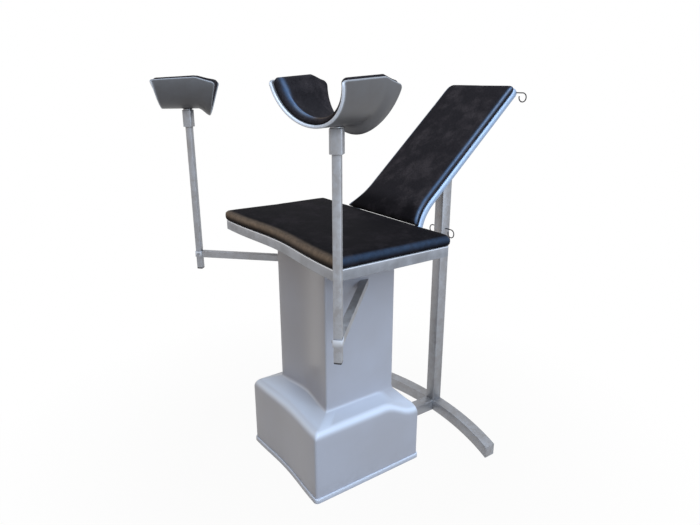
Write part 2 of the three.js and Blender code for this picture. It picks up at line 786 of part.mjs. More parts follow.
// Outline of the backrest in its own plane, drawn in by an inset
function backrestOutline(inset, plane, corner = backrestCorner) {
  const sideSteps = 9;
  const cornerSteps = 4;
  const radius = Math.max(corner - inset, corner / 4);
  const bottom = backrestBottom + inset;
  const top = backrestTop - inset;
  const right = [];
  for (let i = 0; i <= sideSteps; i += 1) {
    const place = bottom + (top - radius - bottom) * (i / sideSteps) ** backrestStepPower;
    right.push([backrestHalf(place) - inset, place]);
  }
  for (let i = 1; i <= cornerSteps; i += 1) {
    const angle = (i / cornerSteps) * (Math.PI / 2);
    const x = backrestHalfWidth - inset - radius + radius * Math.cos(angle);
    right.push([x, top - radius + radius * Math.sin(angle)]);
  }
  const left = right.map(([x, place]) => [-x, place]).reverse();
  return [...right, ...left].map(([x, place]) => new THREE.Vector3(x, place, plane));
}

// Point on the rail's right upper corner, a share of the way round it and outside its centre line
function railCornerPoint(share, outside) {
  const angle = share * (Math.PI / 2);
  const radius = railCorner + outside;
  return [
    backrestHalfWidth - railInset - railCorner + radius * Math.cos(angle),
    backrestTop - railTopInset - railCorner + radius * Math.sin(angle),
  ];
}

// Path of the rail under the backrest's edge, from one hinge lug round the top to the other
function railPath() {
  const sideSteps = 9;
  const cornerSteps = 4;
  const right = [[backrestHalf(railBend) - railInset, railStart]];
  for (let i = 0; i <= sideSteps; i += 1) {
    const place = railBend + (railCornerPoint(0, 0)[1] - railBend) * (i / sideSteps) ** backrestStepPower;
    right.push([backrestHalf(place) - railInset, place]);
  }
  for (let i = 1; i <= cornerSteps; i += 1) right.push(railCornerPoint(i / cornerSteps, 0));
  const left = right.map(([x, place]) => [-x, place]).reverse();
  return [...right, ...left].map(([x, place]) => new THREE.Vector3(x, place, railPlane));
}

// Tube swept through points in one level plane, its sections standing square to the path
function levelTube(points, radius, wall, sides) {
  const sections = points.map((point, i) => {
    const before = points[Math.max(i - 1, 0)];
    const after = points[Math.min(i + 1, points.length - 1)];
    const direction = new THREE.Vector3().subVectors(after, before).normalize();
    return { point, across: new THREE.Vector3(direction.y, -direction.x, 0) };
  });
  const circle = (section, size) => Array.from({ length: sides }, (_, k) => {
    const angle = (k / sides) * 2 * Math.PI;
    const place = section.point.clone().addScaledVector(section.across, size * Math.cos(angle));
    place.z += size * Math.sin(angle);
    return place;
  });
  const outer = sections.map((section) => circle(section, radius));
  const inner = sections.map((section) => circle(section, radius - wall));
  return ringSolid([...outer, ...inner.reverse()], true);
}

function backrestPadGeometry() {
  const round = backrestPadThickness / 2;
  const rows = backrestPadShares.map(([inset, rise]) => (
    [round * inset, padBottomPlane + backrestPadThickness * rise]
  ));
  for (const share of backrestCrownShares) {
    const rise = backrestPadCrown * Math.sin(share * Math.PI / 2);
    rows.push([round + share * backrestHalfWidth, backrestPadTop + rise]);
  }
  return ringSolid(rows.map(([inset, plane]) => backrestOutline(inset, plane)), false);
}

// Plate standing upright along the backrest, cut from an outline of places and planes
function uprightPlate(outline, centreX, thickness) {
  const shape = new THREE.Shape(outline);
  const geometry = new THREE.ExtrudeGeometry(shape, { depth: thickness, bevelEnabled: false });
  geometry.rotateY(Math.PI / 2).rotateX(Math.PI / 2);
  return geometry.translate(centreX - thickness / 2, 0, 0);
}

// Eye round the hinge axis with a tab from it, in places and planes
function eyeOutline(tab) {
  const points = [];
  const steps = 16;
  const [start, end] = tab.arc;
  for (let i = 0; i <= steps; i += 1) {
    const angle = start + (end - start) * i / steps;
    points.push([hingeEyeRadius * Math.cos(angle), hingeEyeRadius * Math.sin(angle)]);
  }
  return [...points, ...tab.corners].map(([place, plane]) => new THREE.Vector2(place, plane));
}

// Round bar lying across the chair
function barAcross(radius, low, high) {
  return roundBar(radius, low, high).rotateY(Math.PI / 2);
}

function addHinge(backrest) {
  const plateX = backrestHalf(railBend) - railInset;
  const hole = barAcross(hingePinRadius + runningGap, -backrestHalfWidth, backrestHalfWidth * 2);
  const spacing = hingePlateThickness + hingePlateSpacing;
  const lugEnd = railStart - seatGap;
  const lug = uprightPlate(
    eyeOutline({
      arc: [radians(150), radians(390)],
      corners: [
        [lugEnd - railRadius * lugTabShare, railPlane - lugTabWidth / 2],
        [lugEnd, railPlane - lugTabWidth / 2],
        [lugEnd, railPlane + lugTabWidth / 2],
        [hingeEyeRadius / 2, railPlane + lugTabWidth / 2],
      ],
    }),
    0,
    hingePlateThickness,
  );
  const frameFace = seat.rear + seatGap - hingeY;
  const bracket = uprightPlate(
    eyeOutline({
      arc: [radians(-90), radians(90)],
      corners: [[frameFace, hingeEyeRadius], [frameFace, -hingeEyeRadius]],
    }),
    0,
    hingePlateThickness,
  );
  for (const [word, side] of [['right', 1], ['left', -1]]) {
    const lugPiece = addPiece(backrest, `hinge_lug_${word}`, cut(lug, hole), 'frameSteel');
    lugPiece.position.x = side * plateX;
    const bracketPiece = addPiece(chair, `hinge_bracket_${word}`, cut(bracket, hole), 'steel');
    bracketPiece.position.set(side * (plateX - spacing), hingeY, hingeZ);
    const inner = -spacing - hingePlateThickness / 2 - seatGap;
    const outer = hingePlateThickness / 2 + seatGap;
    const pin = join(
      barAcross(hingePinRadius, inner - hingePinHead, outer + seatGap),
      barAcross(hingePinHeadRadius, outer, outer + hingePinHead),
    );
    const pinPiece = addPiece(chair, `hinge_pin_${word}`, pin, 'steel');
    pinPiece.position.set(side * plateX, hingeY, hingeZ);
    if (side < 0) pinPiece.rotation.z = Math.PI;
  }
}

function addBackrest() {
  const backrest = new THREE.Group();
  backrest.position.set(0, hingeY, hingeZ);
  backrest.rotation.x = tilt;
  chair.add(backrest);

  addPiece(backrest, 'backrest_pad', backrestPadGeometry(), 'leather');
  addPiece(backrest, 'backrest_rail', levelTube(railPath(), railRadius, railWall, 8), 'frameSteel');

  const boardInset = railInset + railRadius + seatGap;
  const boardTop = padBottomPlane - seatGap;
  const board = [boardBottomPlane, boardTop].map((plane) => backrestOutline(boardInset, plane));
  addPiece(backrest, 'backrest_board', ringSolid(board, false), 'wood');

  const barHalf = backrestHalfWidth - railInset - railRadius - seatGap;
  for (const [name, place] of [
    ['backrest_crossbar_lower', lowerCrossbarPlace],
    ['backrest_crossbar_upper', upperCrossbarPlace],
  ]) {
    const bar = block(
      [-barHalf, place, crossbarBottomPlane],
      [barHalf, place + crossbarWidth, crossbarBottomPlane + crossbarWidth],
    );
    addPiece(backrest, name, bar, 'frameSteel');
  }

  const webHalf = guideHalf + guideCheek;
  const guideEnd = upperCrossbarPlace + crossbarWidth;
  const web = block([-webHalf, lowerCrossbarPlace, guideBottomPlane], [webHalf, guideEnd, guideTopPlane]);
  addPiece(backrest, 'guide_web', web, 'frameSteel');
  const cheekTop = guideBottomPlane - seatGap;
  for (const [word, side] of [['right', 1], ['left', -1]]) {
    const cheek = block(
      [Math.min(side * guideHalf, side * webHalf), lowerCrossbarPlace, cheekTop - guideCheekDepth],
      [Math.max(side * guideHalf, side * webHalf), guideEnd, cheekTop],
    );
    addPiece(backrest, `guide_cheek_${word}`, cheek, 'frameSteel');
    const hook = addPiece(backrest, `backrest_hook_${word}`, hookGeometry(side), 'wire');
    const [hookX, hookPlace] = railCornerPoint(backrestHookShare, railRadius);
    hook.position.set(side * (hookX + wireRadius / 4), hookPlace, railPlane);
    hook.rotation.x = -tilt;
  }
  addHinge(backrest);
}

// Crescent between two arcs about the foot's centre, between two heights
function crescent(innerRadius, outerRadius, lowX, highX, bottom, top) {
  const steps = 20;
  const shape = new THREE.Shape();
  for (let i = 0; i <= steps; i += 1) {
    const x = lowX + (highX - lowX) * i / steps;
    shape[i ? 'lineTo' : 'moveTo'](x, footCentre + Math.sqrt(innerRadius ** 2 - x ** 2));
  }
  for (let i = steps; i >= 0; i -= 1) {
    const x = lowX + (highX - lowX) * i / steps;
    shape.lineTo(x, footCentre + Math.sqrt(outerRadius ** 2 - x ** 2));
  }
  return slab(shape, bottom, top);
}

// Bent wire hook: straight out of a face, then round most of a circle, in an upright plane
function hookGeometry(side) {
  const points = [];
  const straightSteps = 3;
  for (let i = 0; i < straightSteps; i += 1) {
    points.push(new THREE.Vector3(seatGap + (hookReach - seatGap) * i / straightSteps, 0, 0));
  }
  for (let i = 0; i <= hookSteps; i += 1) {
    const angle = Math.PI / 2 - radians(hookSweep) * i / hookSteps;
    const x = hookReach + hookRadius * Math.cos(angle);
    points.push(new THREE.Vector3(x, 0, hookRadius * Math.sin(angle) - hookRadius));
  }
  const rings = points.map((point, i) => {
    const before = points[Math.max(i - 1, 0)];
    const after = points[Math.min(i + 1, points.length - 1)];
    const direction = new THREE.Vector3().subVectors(after, before).normalize();
    const across = new THREE.Vector3(-direction.z, 0, direction.x);
    return Array.from({ length: wireSides }, (_, k) => {
      const angle = (k / wireSides) * 2 * Math.PI;
      const place = point.clone().addScaledVector(across, wireRadius * Math.cos(angle));
      place.y += wireRadius * Math.sin(angle);
      place.x *= side;
      return place;
    });
  });
  return ringSolid(rings, false);
}

function addRearStand() {
  const footInner = footRadius;
  const footOuter = footRadius + standWidth;
  const foot = crescent(footInner, footOuter, -footHalfSpan, footHalfSpan, 0, standHeight);
  const footBore = crescent(
    footInner + standWall, footOuter - standWall,
    -footHalfSpan - overrun, footHalfSpan + overrun, standWall, standHeight - standWall,
  );
  addPiece(chair, 'crescent_foot', cut(foot, footBore), 'galvanised');
  const capInset = standWall + seatGap;
  const capEnd = footHalfSpan - seatGap;
  for (const [word, low, high] of [['right', capEnd - footCapDepth, capEnd], ['left', -capEnd, footCapDepth - capEnd]]) {
    const cap = crescent(
      footInner + capInset, footOuter - capInset, low, high, capInset, standHeight - capInset,
    );
    addPiece(chair, `foot_cap_${word}`, cap, 'galvanised');
  }

  const footFrontAtBar = footCentre + Math.sqrt(footRadius ** 2 - standHalf ** 2);
  const barStart = plinth.rear - coverWall - basePlateMargin + seatGap;
  const barEnd = footFrontAtBar - seatGap;
  const bar = squareTube(standWidth, standHeight, standWall, tubeCorner, barStart, barEnd);
  bar.rotateX(-Math.PI / 2).translate(0, 0, standHeight / 2);
  addPiece(chair, 'connector_bar', bar, 'galvanised');

  const postHoles = screwHole(lockScrewRadius + runningGap);
  const post = squareTube(standWidth, standWidth, standWall, tubeCorner, standHeight + seatGap, postTop);
  addPiece(chair, 'rear_post', cut(post, postHoles), 'galvanised').position.y = postCentre;

  for (const [word, side] of [['right', 1], ['left', -1]]) {
    const hook = addPiece(chair, `post_hook_${word}`, hookGeometry(side), 'wire');
    hook.position.set(side * standHalf, postCentre, postHookHeight);
  }
}

// Hole or screw shank through the post's far side at the height of the lock screw
function screwHole(radius) {
  return barAcross(radius, -standWidth, 0).translate(0, 0, lockScrewHeight);
}

function addProp() {
  const prop = squareTube(propWidth, propWidth, propWall, tubeCorner, propBottom, propTop);
  addPiece(chair, 'prop_tube', prop, 'galvanised').position.y = postCentre;

  const glide = new THREE.Shape();
  glide.moveTo(-glideRadius, -glideRadius);
  glide.lineTo(glideRadius, -glideRadius);
  glide.absarc(0, 0, glideRadius, 0, Math.PI, false);
  const block = new THREE.ExtrudeGeometry(glide, { depth: glideWidth, bevelEnabled: false, curveSegments: 10 });
  block.rotateX(Math.PI / 2).rotateZ(Math.PI / 2).translate(-glideWidth / 2, 0, 0);
  addPiece(chair, 'prop_glide', block, 'nylon').position.set(0, postCentre, glideHeight);

  const bushInner = propWidth + 2 * runningGap;
  const bushOuter = bushInner + 2 * bushWall;
  const flangeWall = (standWidth - bushInner) / 2;
  const flangeBottom = postTop + seatGap;
  const body = squareTube(bushOuter, bushOuter, bushWall, tubeCorner, postTop - bushDepth, flangeBottom + bushFlange / 2);
  const flange = squareTube(standWidth, standWidth, flangeWall, tubeCorner, flangeBottom, flangeBottom + bushFlange);
  const bush = cut(join(body, flange), screwHole(lockScrewRadius + runningGap));
  addPiece(chair, 'post_bush', bush, 'nylon').position.y = postCentre;

  const screwTip = propWidth / 2 + seatGap;
  const face = standHalf + seatGap;
  const screw = join(
    barAcross(lockScrewRadius, -face - seatGap, -screwTip),
    barAcross(lockScrewHeadRadius, -face - lockScrewHead, -face),
  );
  addPiece(chair, 'lock_screw', screw, 'steel').position.set(0, postCentre, lockScrewHeight);
}

addPedestal();
addSeat();
addLegSupports();
addBackrest();
addRearStand();
addProp();

export default chair;
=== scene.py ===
"""Looks of a gynecological chair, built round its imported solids.

Lengths are metres in the frame of the solids: the origin lies on the floor under the pedestal's axis,
+Z is up, -Y is the foot end and +X is the sitter's left.
"""

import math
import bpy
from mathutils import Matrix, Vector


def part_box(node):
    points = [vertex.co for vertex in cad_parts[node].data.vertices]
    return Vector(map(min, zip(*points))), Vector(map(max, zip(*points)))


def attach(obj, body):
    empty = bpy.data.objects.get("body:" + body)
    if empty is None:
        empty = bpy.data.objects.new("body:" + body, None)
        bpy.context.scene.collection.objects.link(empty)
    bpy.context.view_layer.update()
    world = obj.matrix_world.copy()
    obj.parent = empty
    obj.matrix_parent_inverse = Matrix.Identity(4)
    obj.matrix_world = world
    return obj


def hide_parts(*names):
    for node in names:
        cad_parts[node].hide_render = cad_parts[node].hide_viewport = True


bl_info = {
    "name": "Gynecological chair",
    "version": (1, 0, 0),
    "blender": (4, 5, 0),
    "location": "View3D > Sidebar > Chair",
    "description": "Builds the pedestal, seat, backrest, leg troughs and rear stand of a gynecological chair",
    "category": "Add Mesh",
}

import bmesh
import bpy
import numpy as np
from bpy.props import FloatProperty, FloatVectorProperty, IntProperty, PointerProperty
from mathutils import Vector

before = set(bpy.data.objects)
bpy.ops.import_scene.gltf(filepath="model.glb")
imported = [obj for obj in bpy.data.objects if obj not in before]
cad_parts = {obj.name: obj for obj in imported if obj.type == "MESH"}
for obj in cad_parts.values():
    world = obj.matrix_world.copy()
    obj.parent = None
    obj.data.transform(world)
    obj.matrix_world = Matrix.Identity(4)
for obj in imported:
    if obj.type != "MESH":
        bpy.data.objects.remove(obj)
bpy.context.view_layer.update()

SIDES = (("right", 1), ("left", -1))


# Sizes and colours


def length_setting(name, description, default):
    """A length in metres that the user can change."""
    return FloatProperty(name=name, description=description, default=default, unit="LENGTH")


def angle_setting(name, description, default):
    """An angle that the user can change, given in degrees."""
    return FloatProperty(name=name, description=description, default=math.radians(default), subtype="ANGLE")


def colour_setting(name, description, default):
    """A colour that the user can change."""
    return FloatVectorProperty(name=name, description=description, default=default, subtype="COLOR")


class ChairSizes(bpy.types.PropertyGroup):
    """Sizes of the pieces that are modelled anew."""

    plinth_width: length_setting("Plinth width", "Width of the plinth", 0.416)
    plinth_front: length_setting("Plinth front", "Reach of the plinth to the front", 0.210)
    plinth_rear: length_setting("Plinth rear", "Reach of the plinth to the rear", 0.203)
    plinth_corner: length_setting("Plinth corner", "Corner radius of the plinth", 0.009)
    plinth_bow: length_setting("Plinth bow", "How far the plinth's front bows inwards", 0.009)
    column_width: length_setting("Column width", "Width of the column", 0.290)
    column_front: length_setting("Column front", "Reach of the column to the front", 0.128)
    column_rear: length_setting("Column rear", "Reach of the column to the rear", 0.135)
    column_corner: length_setting("Column corner", "Corner radius of the column", 0.006)
    column_bow: length_setting("Column bow", "How far the column's front bows inwards", 0.018)
    rear_drop: length_setting("Rear drop", "How far the shoulder sinks towards the rear", 0.046)
    shoulder_bottom: length_setting("Shoulder", "Height at which the plinth starts to round over", 0.220)
    shoulder_rise: length_setting("Shoulder rise", "Rise of the rounding", 0.030)
    ledge_rise: length_setting("Ledge rise", "Rise of the ledge", 0.014)
    fillet_rise: length_setting("Fillet", "Rise of the fillet between ledge and column", 0.018)
    seat_width: length_setting("Seat width", "Width of the seat frame", 0.672)
    seat_front: length_setting("Seat front", "Reach of the seat to the front", 0.218)
    seat_rear: length_setting("Seat rear", "Reach of the seat to the rear", 0.178)
    seat_bow: length_setting("Seat bow", "How far the seat's front bows inwards", 0.017)
    frame_bevel: length_setting("Frame bevel", "Bright bevel along the frame's upper edge", 0.0025)
    pad_overhang: length_setting("Pad overhang", "How far the seat pad stands past the frame", 0.003)
    pad_round: length_setting("Pad edge radius", "Rounding of the seat pad's upper edge", 0.011)
    trough_turn: angle_setting("Trough turn", "How far each trough is turned outwards", 22)
    trough_radius: length_setting("Trough radius", "Bend of the troughs", 0.099)
    trough_front: length_setting("Trough front", "Reach of the troughs to the front", 0.083)
    trough_rear: length_setting("Trough rear", "Reach of the troughs to the rear", 0.0725)
    trough_wing: length_setting("Trough wing", "Length of a wing at its front end", 0.1485)
    trough_corner: length_setting("Trough corner", "Length of a wing at its high corner", 0.1565)
    trough_tail: length_setting("Trough tail", "Length of a wing at its rear end", 0.143)
    trough_lip: length_setting("Trough lip", "Drop of the rear lip", 0.0235)
    trough_wall: length_setting("Trough sheet", "Thickness of the sheet", 0.007)
    trough_pad: length_setting("Trough pad", "Thickness of the trough pads in the middle", 0.008)
    trough_rim: length_setting("Trough pad rim", "Height of the pads' rim", 0.005)
    backrest_half: length_setting("Backrest half width", "Half width of the backrest", 0.151)
    rail_radius: length_setting("Rail radius", "Radius of the bent tube", 0.0125)
    wire_radius: length_setting("Wire radius", "Radius of the hooks' wire", 0.0019)
    hook_bend: length_setting("Hook bend", "Radius of the hooks' loop", 0.0145)
    hook_reach: length_setting("Hook reach", "Straight length before the hooks' loop", 0.0275)
    hook_turn: angle_setting("Hook turn", "How far the hooks' loop goes round", 285)
    cloth_frames: IntProperty(
        name="Cloth steps", description="Steps of the simulation that swells the pads", default=20, min=1
    )


class ChairColours(bpy.types.PropertyGroup):
    """Colours of the finishes."""

    paint: colour_setting("Paint", "Pedestal paint", (0.405, 0.420, 0.488))
    # Painted highlight: a paler, bluer paint colour put where light falls on the ledge and rounded edges.
    paint_highlight: colour_setting("Bright paint", "Paint on ledge and rounded edges", (0.72, 0.80, 0.95))
    frame_steel: colour_setting("Frame steel", "Frames of seat and backrest", (0.255, 0.27, 0.305))
    rail: colour_setting("Rail", "Bent tube round the backrest", (0.30, 0.395, 0.55))
    # Painted highlight: a light steel colour put on edges of frame, troughs and collars where light falls.
    steel_highlight: colour_setting("Bright steel", "Edges of frame, troughs and collars", (0.62, 0.66, 0.74))
    galvanised: colour_setting("Galvanised steel", "Post, foot, rods and arms", (0.335, 0.335, 0.352))
    shell: colour_setting("Trough sheet", "Leg trough shells", (0.09, 0.089, 0.095))
    leather: colour_setting("Leather", "Seat pad and the grain of every pad", (0.011, 0.010, 0.012))
    upper_leather: colour_setting("Upper leather", "Pads of backrest and troughs", (0.031, 0.028, 0.032))
    # Painted highlight: a bluish colour standing in for the sheen on rounded leather edges.
    leather_edge_highlight: colour_setting("Leather edges", "Glossy rounded edges of the pads", (0.05, 0.11, 0.22))
    # Painted highlight: a brown colour for the sheen on the seat's front and rear edges and the troughs' outer
    # ridges.
    worn_leather: colour_setting("Worn leather", "Edges of the pads that legs rub", (0.19, 0.135, 0.095))
    wood: colour_setting("Wood", "Boards in the pads", (0.36, 0.23, 0.12))
    nylon: colour_setting("Nylon", "Glide, bush and caps", (0.02, 0.02, 0.022))
    wire: colour_setting("Wire", "Hooks", (0.014, 0.014, 0.018))
    steel: colour_setting("Plain steel", "Screws, pins and inner steelwork", (0.24, 0.245, 0.26))


# Meshes


def quarter_turn(count):
    """Evenly spaced angles from 0 to a right angle."""
    return np.linspace(0, math.pi / 2, count)


def hump(value, centre, reach):
    """exp(-t^2) of the distance from a centre in units of a reach."""
    return np.exp(-(((value - centre) / reach) ** 2))


def smoothstep(value, low, high):
    """0 below low, 1 above high, 3t^2 - 2t^3 between."""
    t = np.clip((value - low) / (high - low), 0, 1)
    return t * t * (3 - 2 * t)


def grid_quads(rows, columns, loop_rows=False, loop_columns=False):
    """Quads of a grid of points, each from a point and the next ones round a cell, wrapping where asked."""
    i = np.arange(rows if loop_rows else rows - 1)[:, None]
    j = np.arange(columns if loop_columns else columns - 1)[None, :]
    after_i, after_j = (i + 1) % rows, (j + 1) % columns
    corners = [i * columns + j, i * columns + after_j, after_i * columns + after_j, after_i * columns + j]
    return np.stack(corners, -1).reshape(-1, 4)


def signed_volume(points, faces):
    """A sixth of the sum of a . (b x c) over the triangles of all faces."""
    total = 0.0
    for size in {len(face) for face in faces}:
        block = np.array([face for face in faces if len(face) == size])
        for k in range(1, size - 1):
            a, b, c = points[block[:, 0]], points[block[:, k]], points[block[:, k + 1]]
            total += np.einsum("ij,ij->", a, np.cross(b, c))
    return total / 6


def new_mesh(name, points, faces):
    """A mesh from points and faces, turned so that its faces point outwards."""
    points = np.asarray(points, float).reshape(-1, 3)
    faces = [list(map(int, face)) for face in faces]
    if signed_volume(points, faces) < 0:
        faces = [face[::-1] for face in faces]
    mesh = bpy.data.meshes.new(name)
    mesh.from_pydata(points.tolist(), [], faces)
    mesh.update()
    return mesh


def new_object(mesh):
    """An object named like its mesh, linked into the scene."""
    piece = bpy.data.objects.new(mesh.name, mesh)
    bpy.context.scene.collection.objects.link(piece)
    return piece


def finish_piece(piece, body, slot, nodes, sharp=None, look=None):
    """Shades a piece, gives it the finish of its slot, or another look, ties it to its body and hides the
    solids that it stands for."""
    piece.data.polygons.foreach_set("use_smooth", np.ones(len(piece.data.polygons), bool))
    if sharp is not None:
        piece.data.set_sharp_from_angle(angle=math.radians(sharp))
    piece.data.materials.clear()
    piece.data.materials.append(finish_for(look or slot))
    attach(piece, body)
    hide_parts(*nodes)
    return piece


def ring_mesh(name, rings, loop=False):
    """A surface through rings of equal count, closed into a loop of rings or capped by a fan at both ends."""
    rings = np.asarray(rings, float)
    rows, columns, _ = rings.shape
    faces = grid_quads(rows, columns, loop_rows=loop, loop_columns=True).tolist()
    points = rings.reshape(-1, 3)
    if not loop:
        hubs = [rings[0].mean(0), rings[-1].mean(0)]
        points = np.vstack([points, hubs])
        j = np.arange(columns)
        k = (j + 1) % columns
        first, last = rows * columns, rows * columns + 1
        faces += np.stack([np.full(columns, first), k, j], -1).tolist()
        top = (rows - 1) * columns
        faces += np.stack([np.full(columns, last), top + j, top + k], -1).tolist()
    return new_mesh(name, points, faces)


def sheet_mesh(name, outer, inner):
    """A closed sheet between two grids of the same shape, joined round their four edges."""
    rows, columns, _ = outer.shape
    count = rows * columns
    faces = grid_quads(rows, columns).tolist() + (grid_quads(rows, columns)[:, ::-1] + count).tolist()
    i, j = np.arange(rows), np.arange(columns)
    edge = np.concatenate([
        i[:-1] * columns,
        (rows - 1) * columns + j[:-1],
        i[:0:-1] * columns + columns - 1,
        j[:0:-1],
    ])
    after = np.roll(edge, -1)
    faces += np.stack([after, edge, edge + count, after + count], -1).tolist()
    return new_mesh(name, np.concatenate([outer.reshape(-1, 3), inner.reshape(-1, 3)]), faces)


def sweep_mesh(name, path, radius, sides):
    """A round bar along a path: at each point a circle in the plane square to the path's direction there."""
    direction = np.gradient(path, axis=0)
    direction /= np.linalg.norm(direction, axis=1)[:, None]
    normal = np.cross(direction[0], direction[len(direction) // 2])
    across = np.cross(normal / np.linalg.norm(normal), direction)
    across /= np.linalg.norm(across, axis=1)[:, None]
    up = np.cross(direction, across)
    angle = np.linspace(0, 2 * math.pi, sides, endpoint=False)[None, :, None]
    rings = path[:, None] + radius * (np.cos(angle) * across[:, None] + np.sin(angle) * up[:, None])
    return ring_mesh(name, rings)


def baked(piece):
    """Puts the result of a piece's modifiers into its mesh."""
    graph = bpy.context.evaluated_depsgraph_get()
    mesh = bpy.data.meshes.new_from_object(piece.evaluated_get(graph))
    old = piece.data
    piece.modifiers.clear()
    piece.data = mesh
    bpy.data.meshes.remove(old)
    return piece


def dressed(node, body, slot, bevel):
    """A copy of a solid with its coplanar triangles joined and its edges rounded."""
    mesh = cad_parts[node].data.copy()
    mesh.name = f"{node}_finished"
    work = bmesh.new()
    work.from_mesh(mesh)
    bmesh.ops.remove_doubles(work, verts=work.verts, dist=1e-6)
    bmesh.ops.dissolve_limit(work, angle_limit=math.radians(1.5), verts=work.verts, edges=work.edges)
    work.to_mesh(mesh)
    work.free()
    piece = new_object(mesh)
    rounding = piece.modifiers.new("Rounded edges", "BEVEL")
    rounding.width = bevel
    rounding.segments = 2
    rounding.limit_method = "ANGLE"
    rounding.angle_limit = math.radians(40)
    rounding.harden_normals = True
    return finish_piece(piece, body, slot, [node])


def bowed_outline(width, front, rear, corner, bow, inset=0.0, draw_in=0.0, power=2):
    """Plan outline of a rounded rectangle whose front edge is pushed back by bow * cos(pi x / width) to a
    power, fading towards the rear. Its sides are drawn in by draw_in times a parabola along them, and its rear
    edge by draw_in times the square of the same cosine."""
    radius = max(corner - inset, corner / 4)
    half, low, high = width / 2 - inset, -front + inset, rear - inset
    turn = quarter_turn(9)[:-1]

    def arc(x, y, start):
        return np.stack([x + radius * np.cos(start + turn), y + radius * np.sin(start + turn)], -1)

    def line(x0, y0, x1, y1, count):
        share = np.linspace(0, 1, count + 1)[:-1, None]
        return np.array([[x0, y0]]) * (1 - share) + np.array([[x1, y1]]) * share

    flat = np.concatenate([
        arc(-half + radius, low + radius, math.pi),
        line(-half + radius, low, half - radius, low, 48),
        arc(half - radius, low + radius, -math.pi / 2),
        line(half, low + radius, half, high - radius, 24),
        arc(half - radius, high - radius, 0),
        line(half - radius, high, -half + radius, high, 40),
        arc(-half + radius, high - radius, math.pi / 2),
        line(-half, high - radius, -half, low + radius, 24),
    ])
    x, y = flat[:, 0], flat[:, 1]
    reach = np.clip((y - low) / (high - low), 0, 1)
    wave = np.cos(math.pi * x / width)
    pull = draw_in * (1 - (2 * reach - 1) ** 2) * np.clip(np.abs(x) / half, 0, 1)
    back = np.where(reach < 0.5, bow * wave**power * (1 - reach), -draw_in * wave**2)
    return np.stack([x - np.sign(x) * pull, y + back], -1)


def at_height(outline, height):
    """An outline as a ring at one height."""
    return np.column_stack([outline, np.full(len(outline), height)])


# Shader maths


class Socket:
    """A node socket that adds Math nodes when it is used in an expression."""

    def __init__(self, nodes, socket):
        self.nodes = nodes
        self.socket = socket

    def _math(self, operation, *values):
        return self.nodes.add("ShaderNodeMath", {"operation": operation}, dict(enumerate(values)))

    def __add__(self, other):
        return self._math("ADD", self, other)

    __radd__ = __add__

    def __sub__(self, other):
        return self._math("SUBTRACT", self, other)

    def __rsub__(self, other):
        return self._math("SUBTRACT", other, self)

    def __mul__(self, other):
        return self._math("MULTIPLY", self, other)

    __rmul__ = __mul__

    def __pow__(self, other):
        return self._math("POWER", self, other)

    def highest(self, other):
        """The greater of two values."""
        return self._math("MAXIMUM", self, other)

    def clipped(self):
        """The value held between 0 and 1."""
        return self.nodes.add("ShaderNodeClamp", {}, {0: self})

    def ramped(self, low, high):
        """0 below low, 1 above high and smooth between."""
        settings = {"interpolation_type": "SMOOTHSTEP"}
        return self.nodes.add("ShaderNodeMapRange", settings, {0: self, 1: low, 2: high})


class Nodes:
    """The node tree of a material or world, emptied and then filled node by node."""

    def __init__(self, holder):
        holder.use_nodes = True
        self.tree = holder.node_tree
        self.tree.nodes.clear()

    def add(self, kind, settings, inputs, output=0):
        """Adds a node, its settings first and then the values or links of its sockets."""
        node = self.tree.nodes.new(kind)
        for key, value in settings.items():
            setattr(node, key, value)
        for key, value in inputs.items():
            if isinstance(value, Socket):
                self.tree.links.new(value.socket, node.inputs[key])
            else:
                node.inputs[key].default_value = value
        return Socket(self, node.outputs[output])

    def close(self, kind, shader):
        """Adds the tree's output and links a shader to it."""
        output = self.tree.nodes.new(kind)
        self.tree.links.new(shader.socket, output.inputs[0])

    def seen_directly(self):
        """1 for camera, mirror and transmission rays, so that metal shows the background too, and 0 for the
        others."""
        names = ("Is Camera Ray", "Is Glossy Ray", "Is Transmission Ray")
        camera, mirror, through = [self.add("ShaderNodeLightPath", {}, {}, name) for name in names]
        return camera.highest(mirror).highest(through)


class Finish(Nodes):
    """The material of one finish."""

    def __init__(self, name):
        self.material = bpy.data.materials.new(name)
        super().__init__(self.material)
        self.place = self.add("ShaderNodeTexCoord", {}, {}, "Object")

    def stretched(self, scale, turn=(0, 0, 0)):
        """Object coordinates turned and scaled along each axis."""
        return self.add("ShaderNodeMapping", {}, {"Vector": self.place, "Rotation": turn, "Scale": scale})

    def own(self, name):
        """A value that the mesh holds at its points, 0 where it holds none."""
        return self.add("ShaderNodeAttribute", {"attribute_name": name}, {}, "Fac")

    def noise(self, scale, detail, roughness, place=None):
        """Cloudy noise from 0 to 1."""
        inputs = {"Vector": place or self.place, "Scale": scale, "Detail": detail, "Roughness": roughness}
        return self.add("ShaderNodeTexNoise", {}, inputs)

    def cells(self, scale, feature="F1", output="Distance"):
        """Voronoi cells."""
        inputs = {"Vector": self.place, "Scale": scale}
        return self.add("ShaderNodeTexVoronoi", {"feature": feature}, inputs, output)

    def height(self):
        """Height over the floor."""
        return self.add("ShaderNodeSeparateXYZ", {}, {0: self.place}, "Z")

    def blend(self, factor, first, second):
        """Colour mix."""
        pick = {"data_type": "RGBA", "blend_type": "MIX"}
        colours = {0: factor, 6: colour4(first), 7: colour4(second)}
        return self.add("ShaderNodeMix", pick, colours, 2)

    def bump(self, height, strength, distance, **normal):
        """Normal disturbed by a height, on top of a normal where one is given."""
        inputs = {"Height": height, "Strength": strength, "Distance": distance, **normal}
        return self.add("ShaderNodeBump", {}, inputs)

    def done(self, inputs):
        """Closes the material with a surface shader of these constants and links."""
        self.close("ShaderNodeOutputMaterial", self.add("ShaderNodeBsdfPrincipled", {}, inputs))
        return self.material


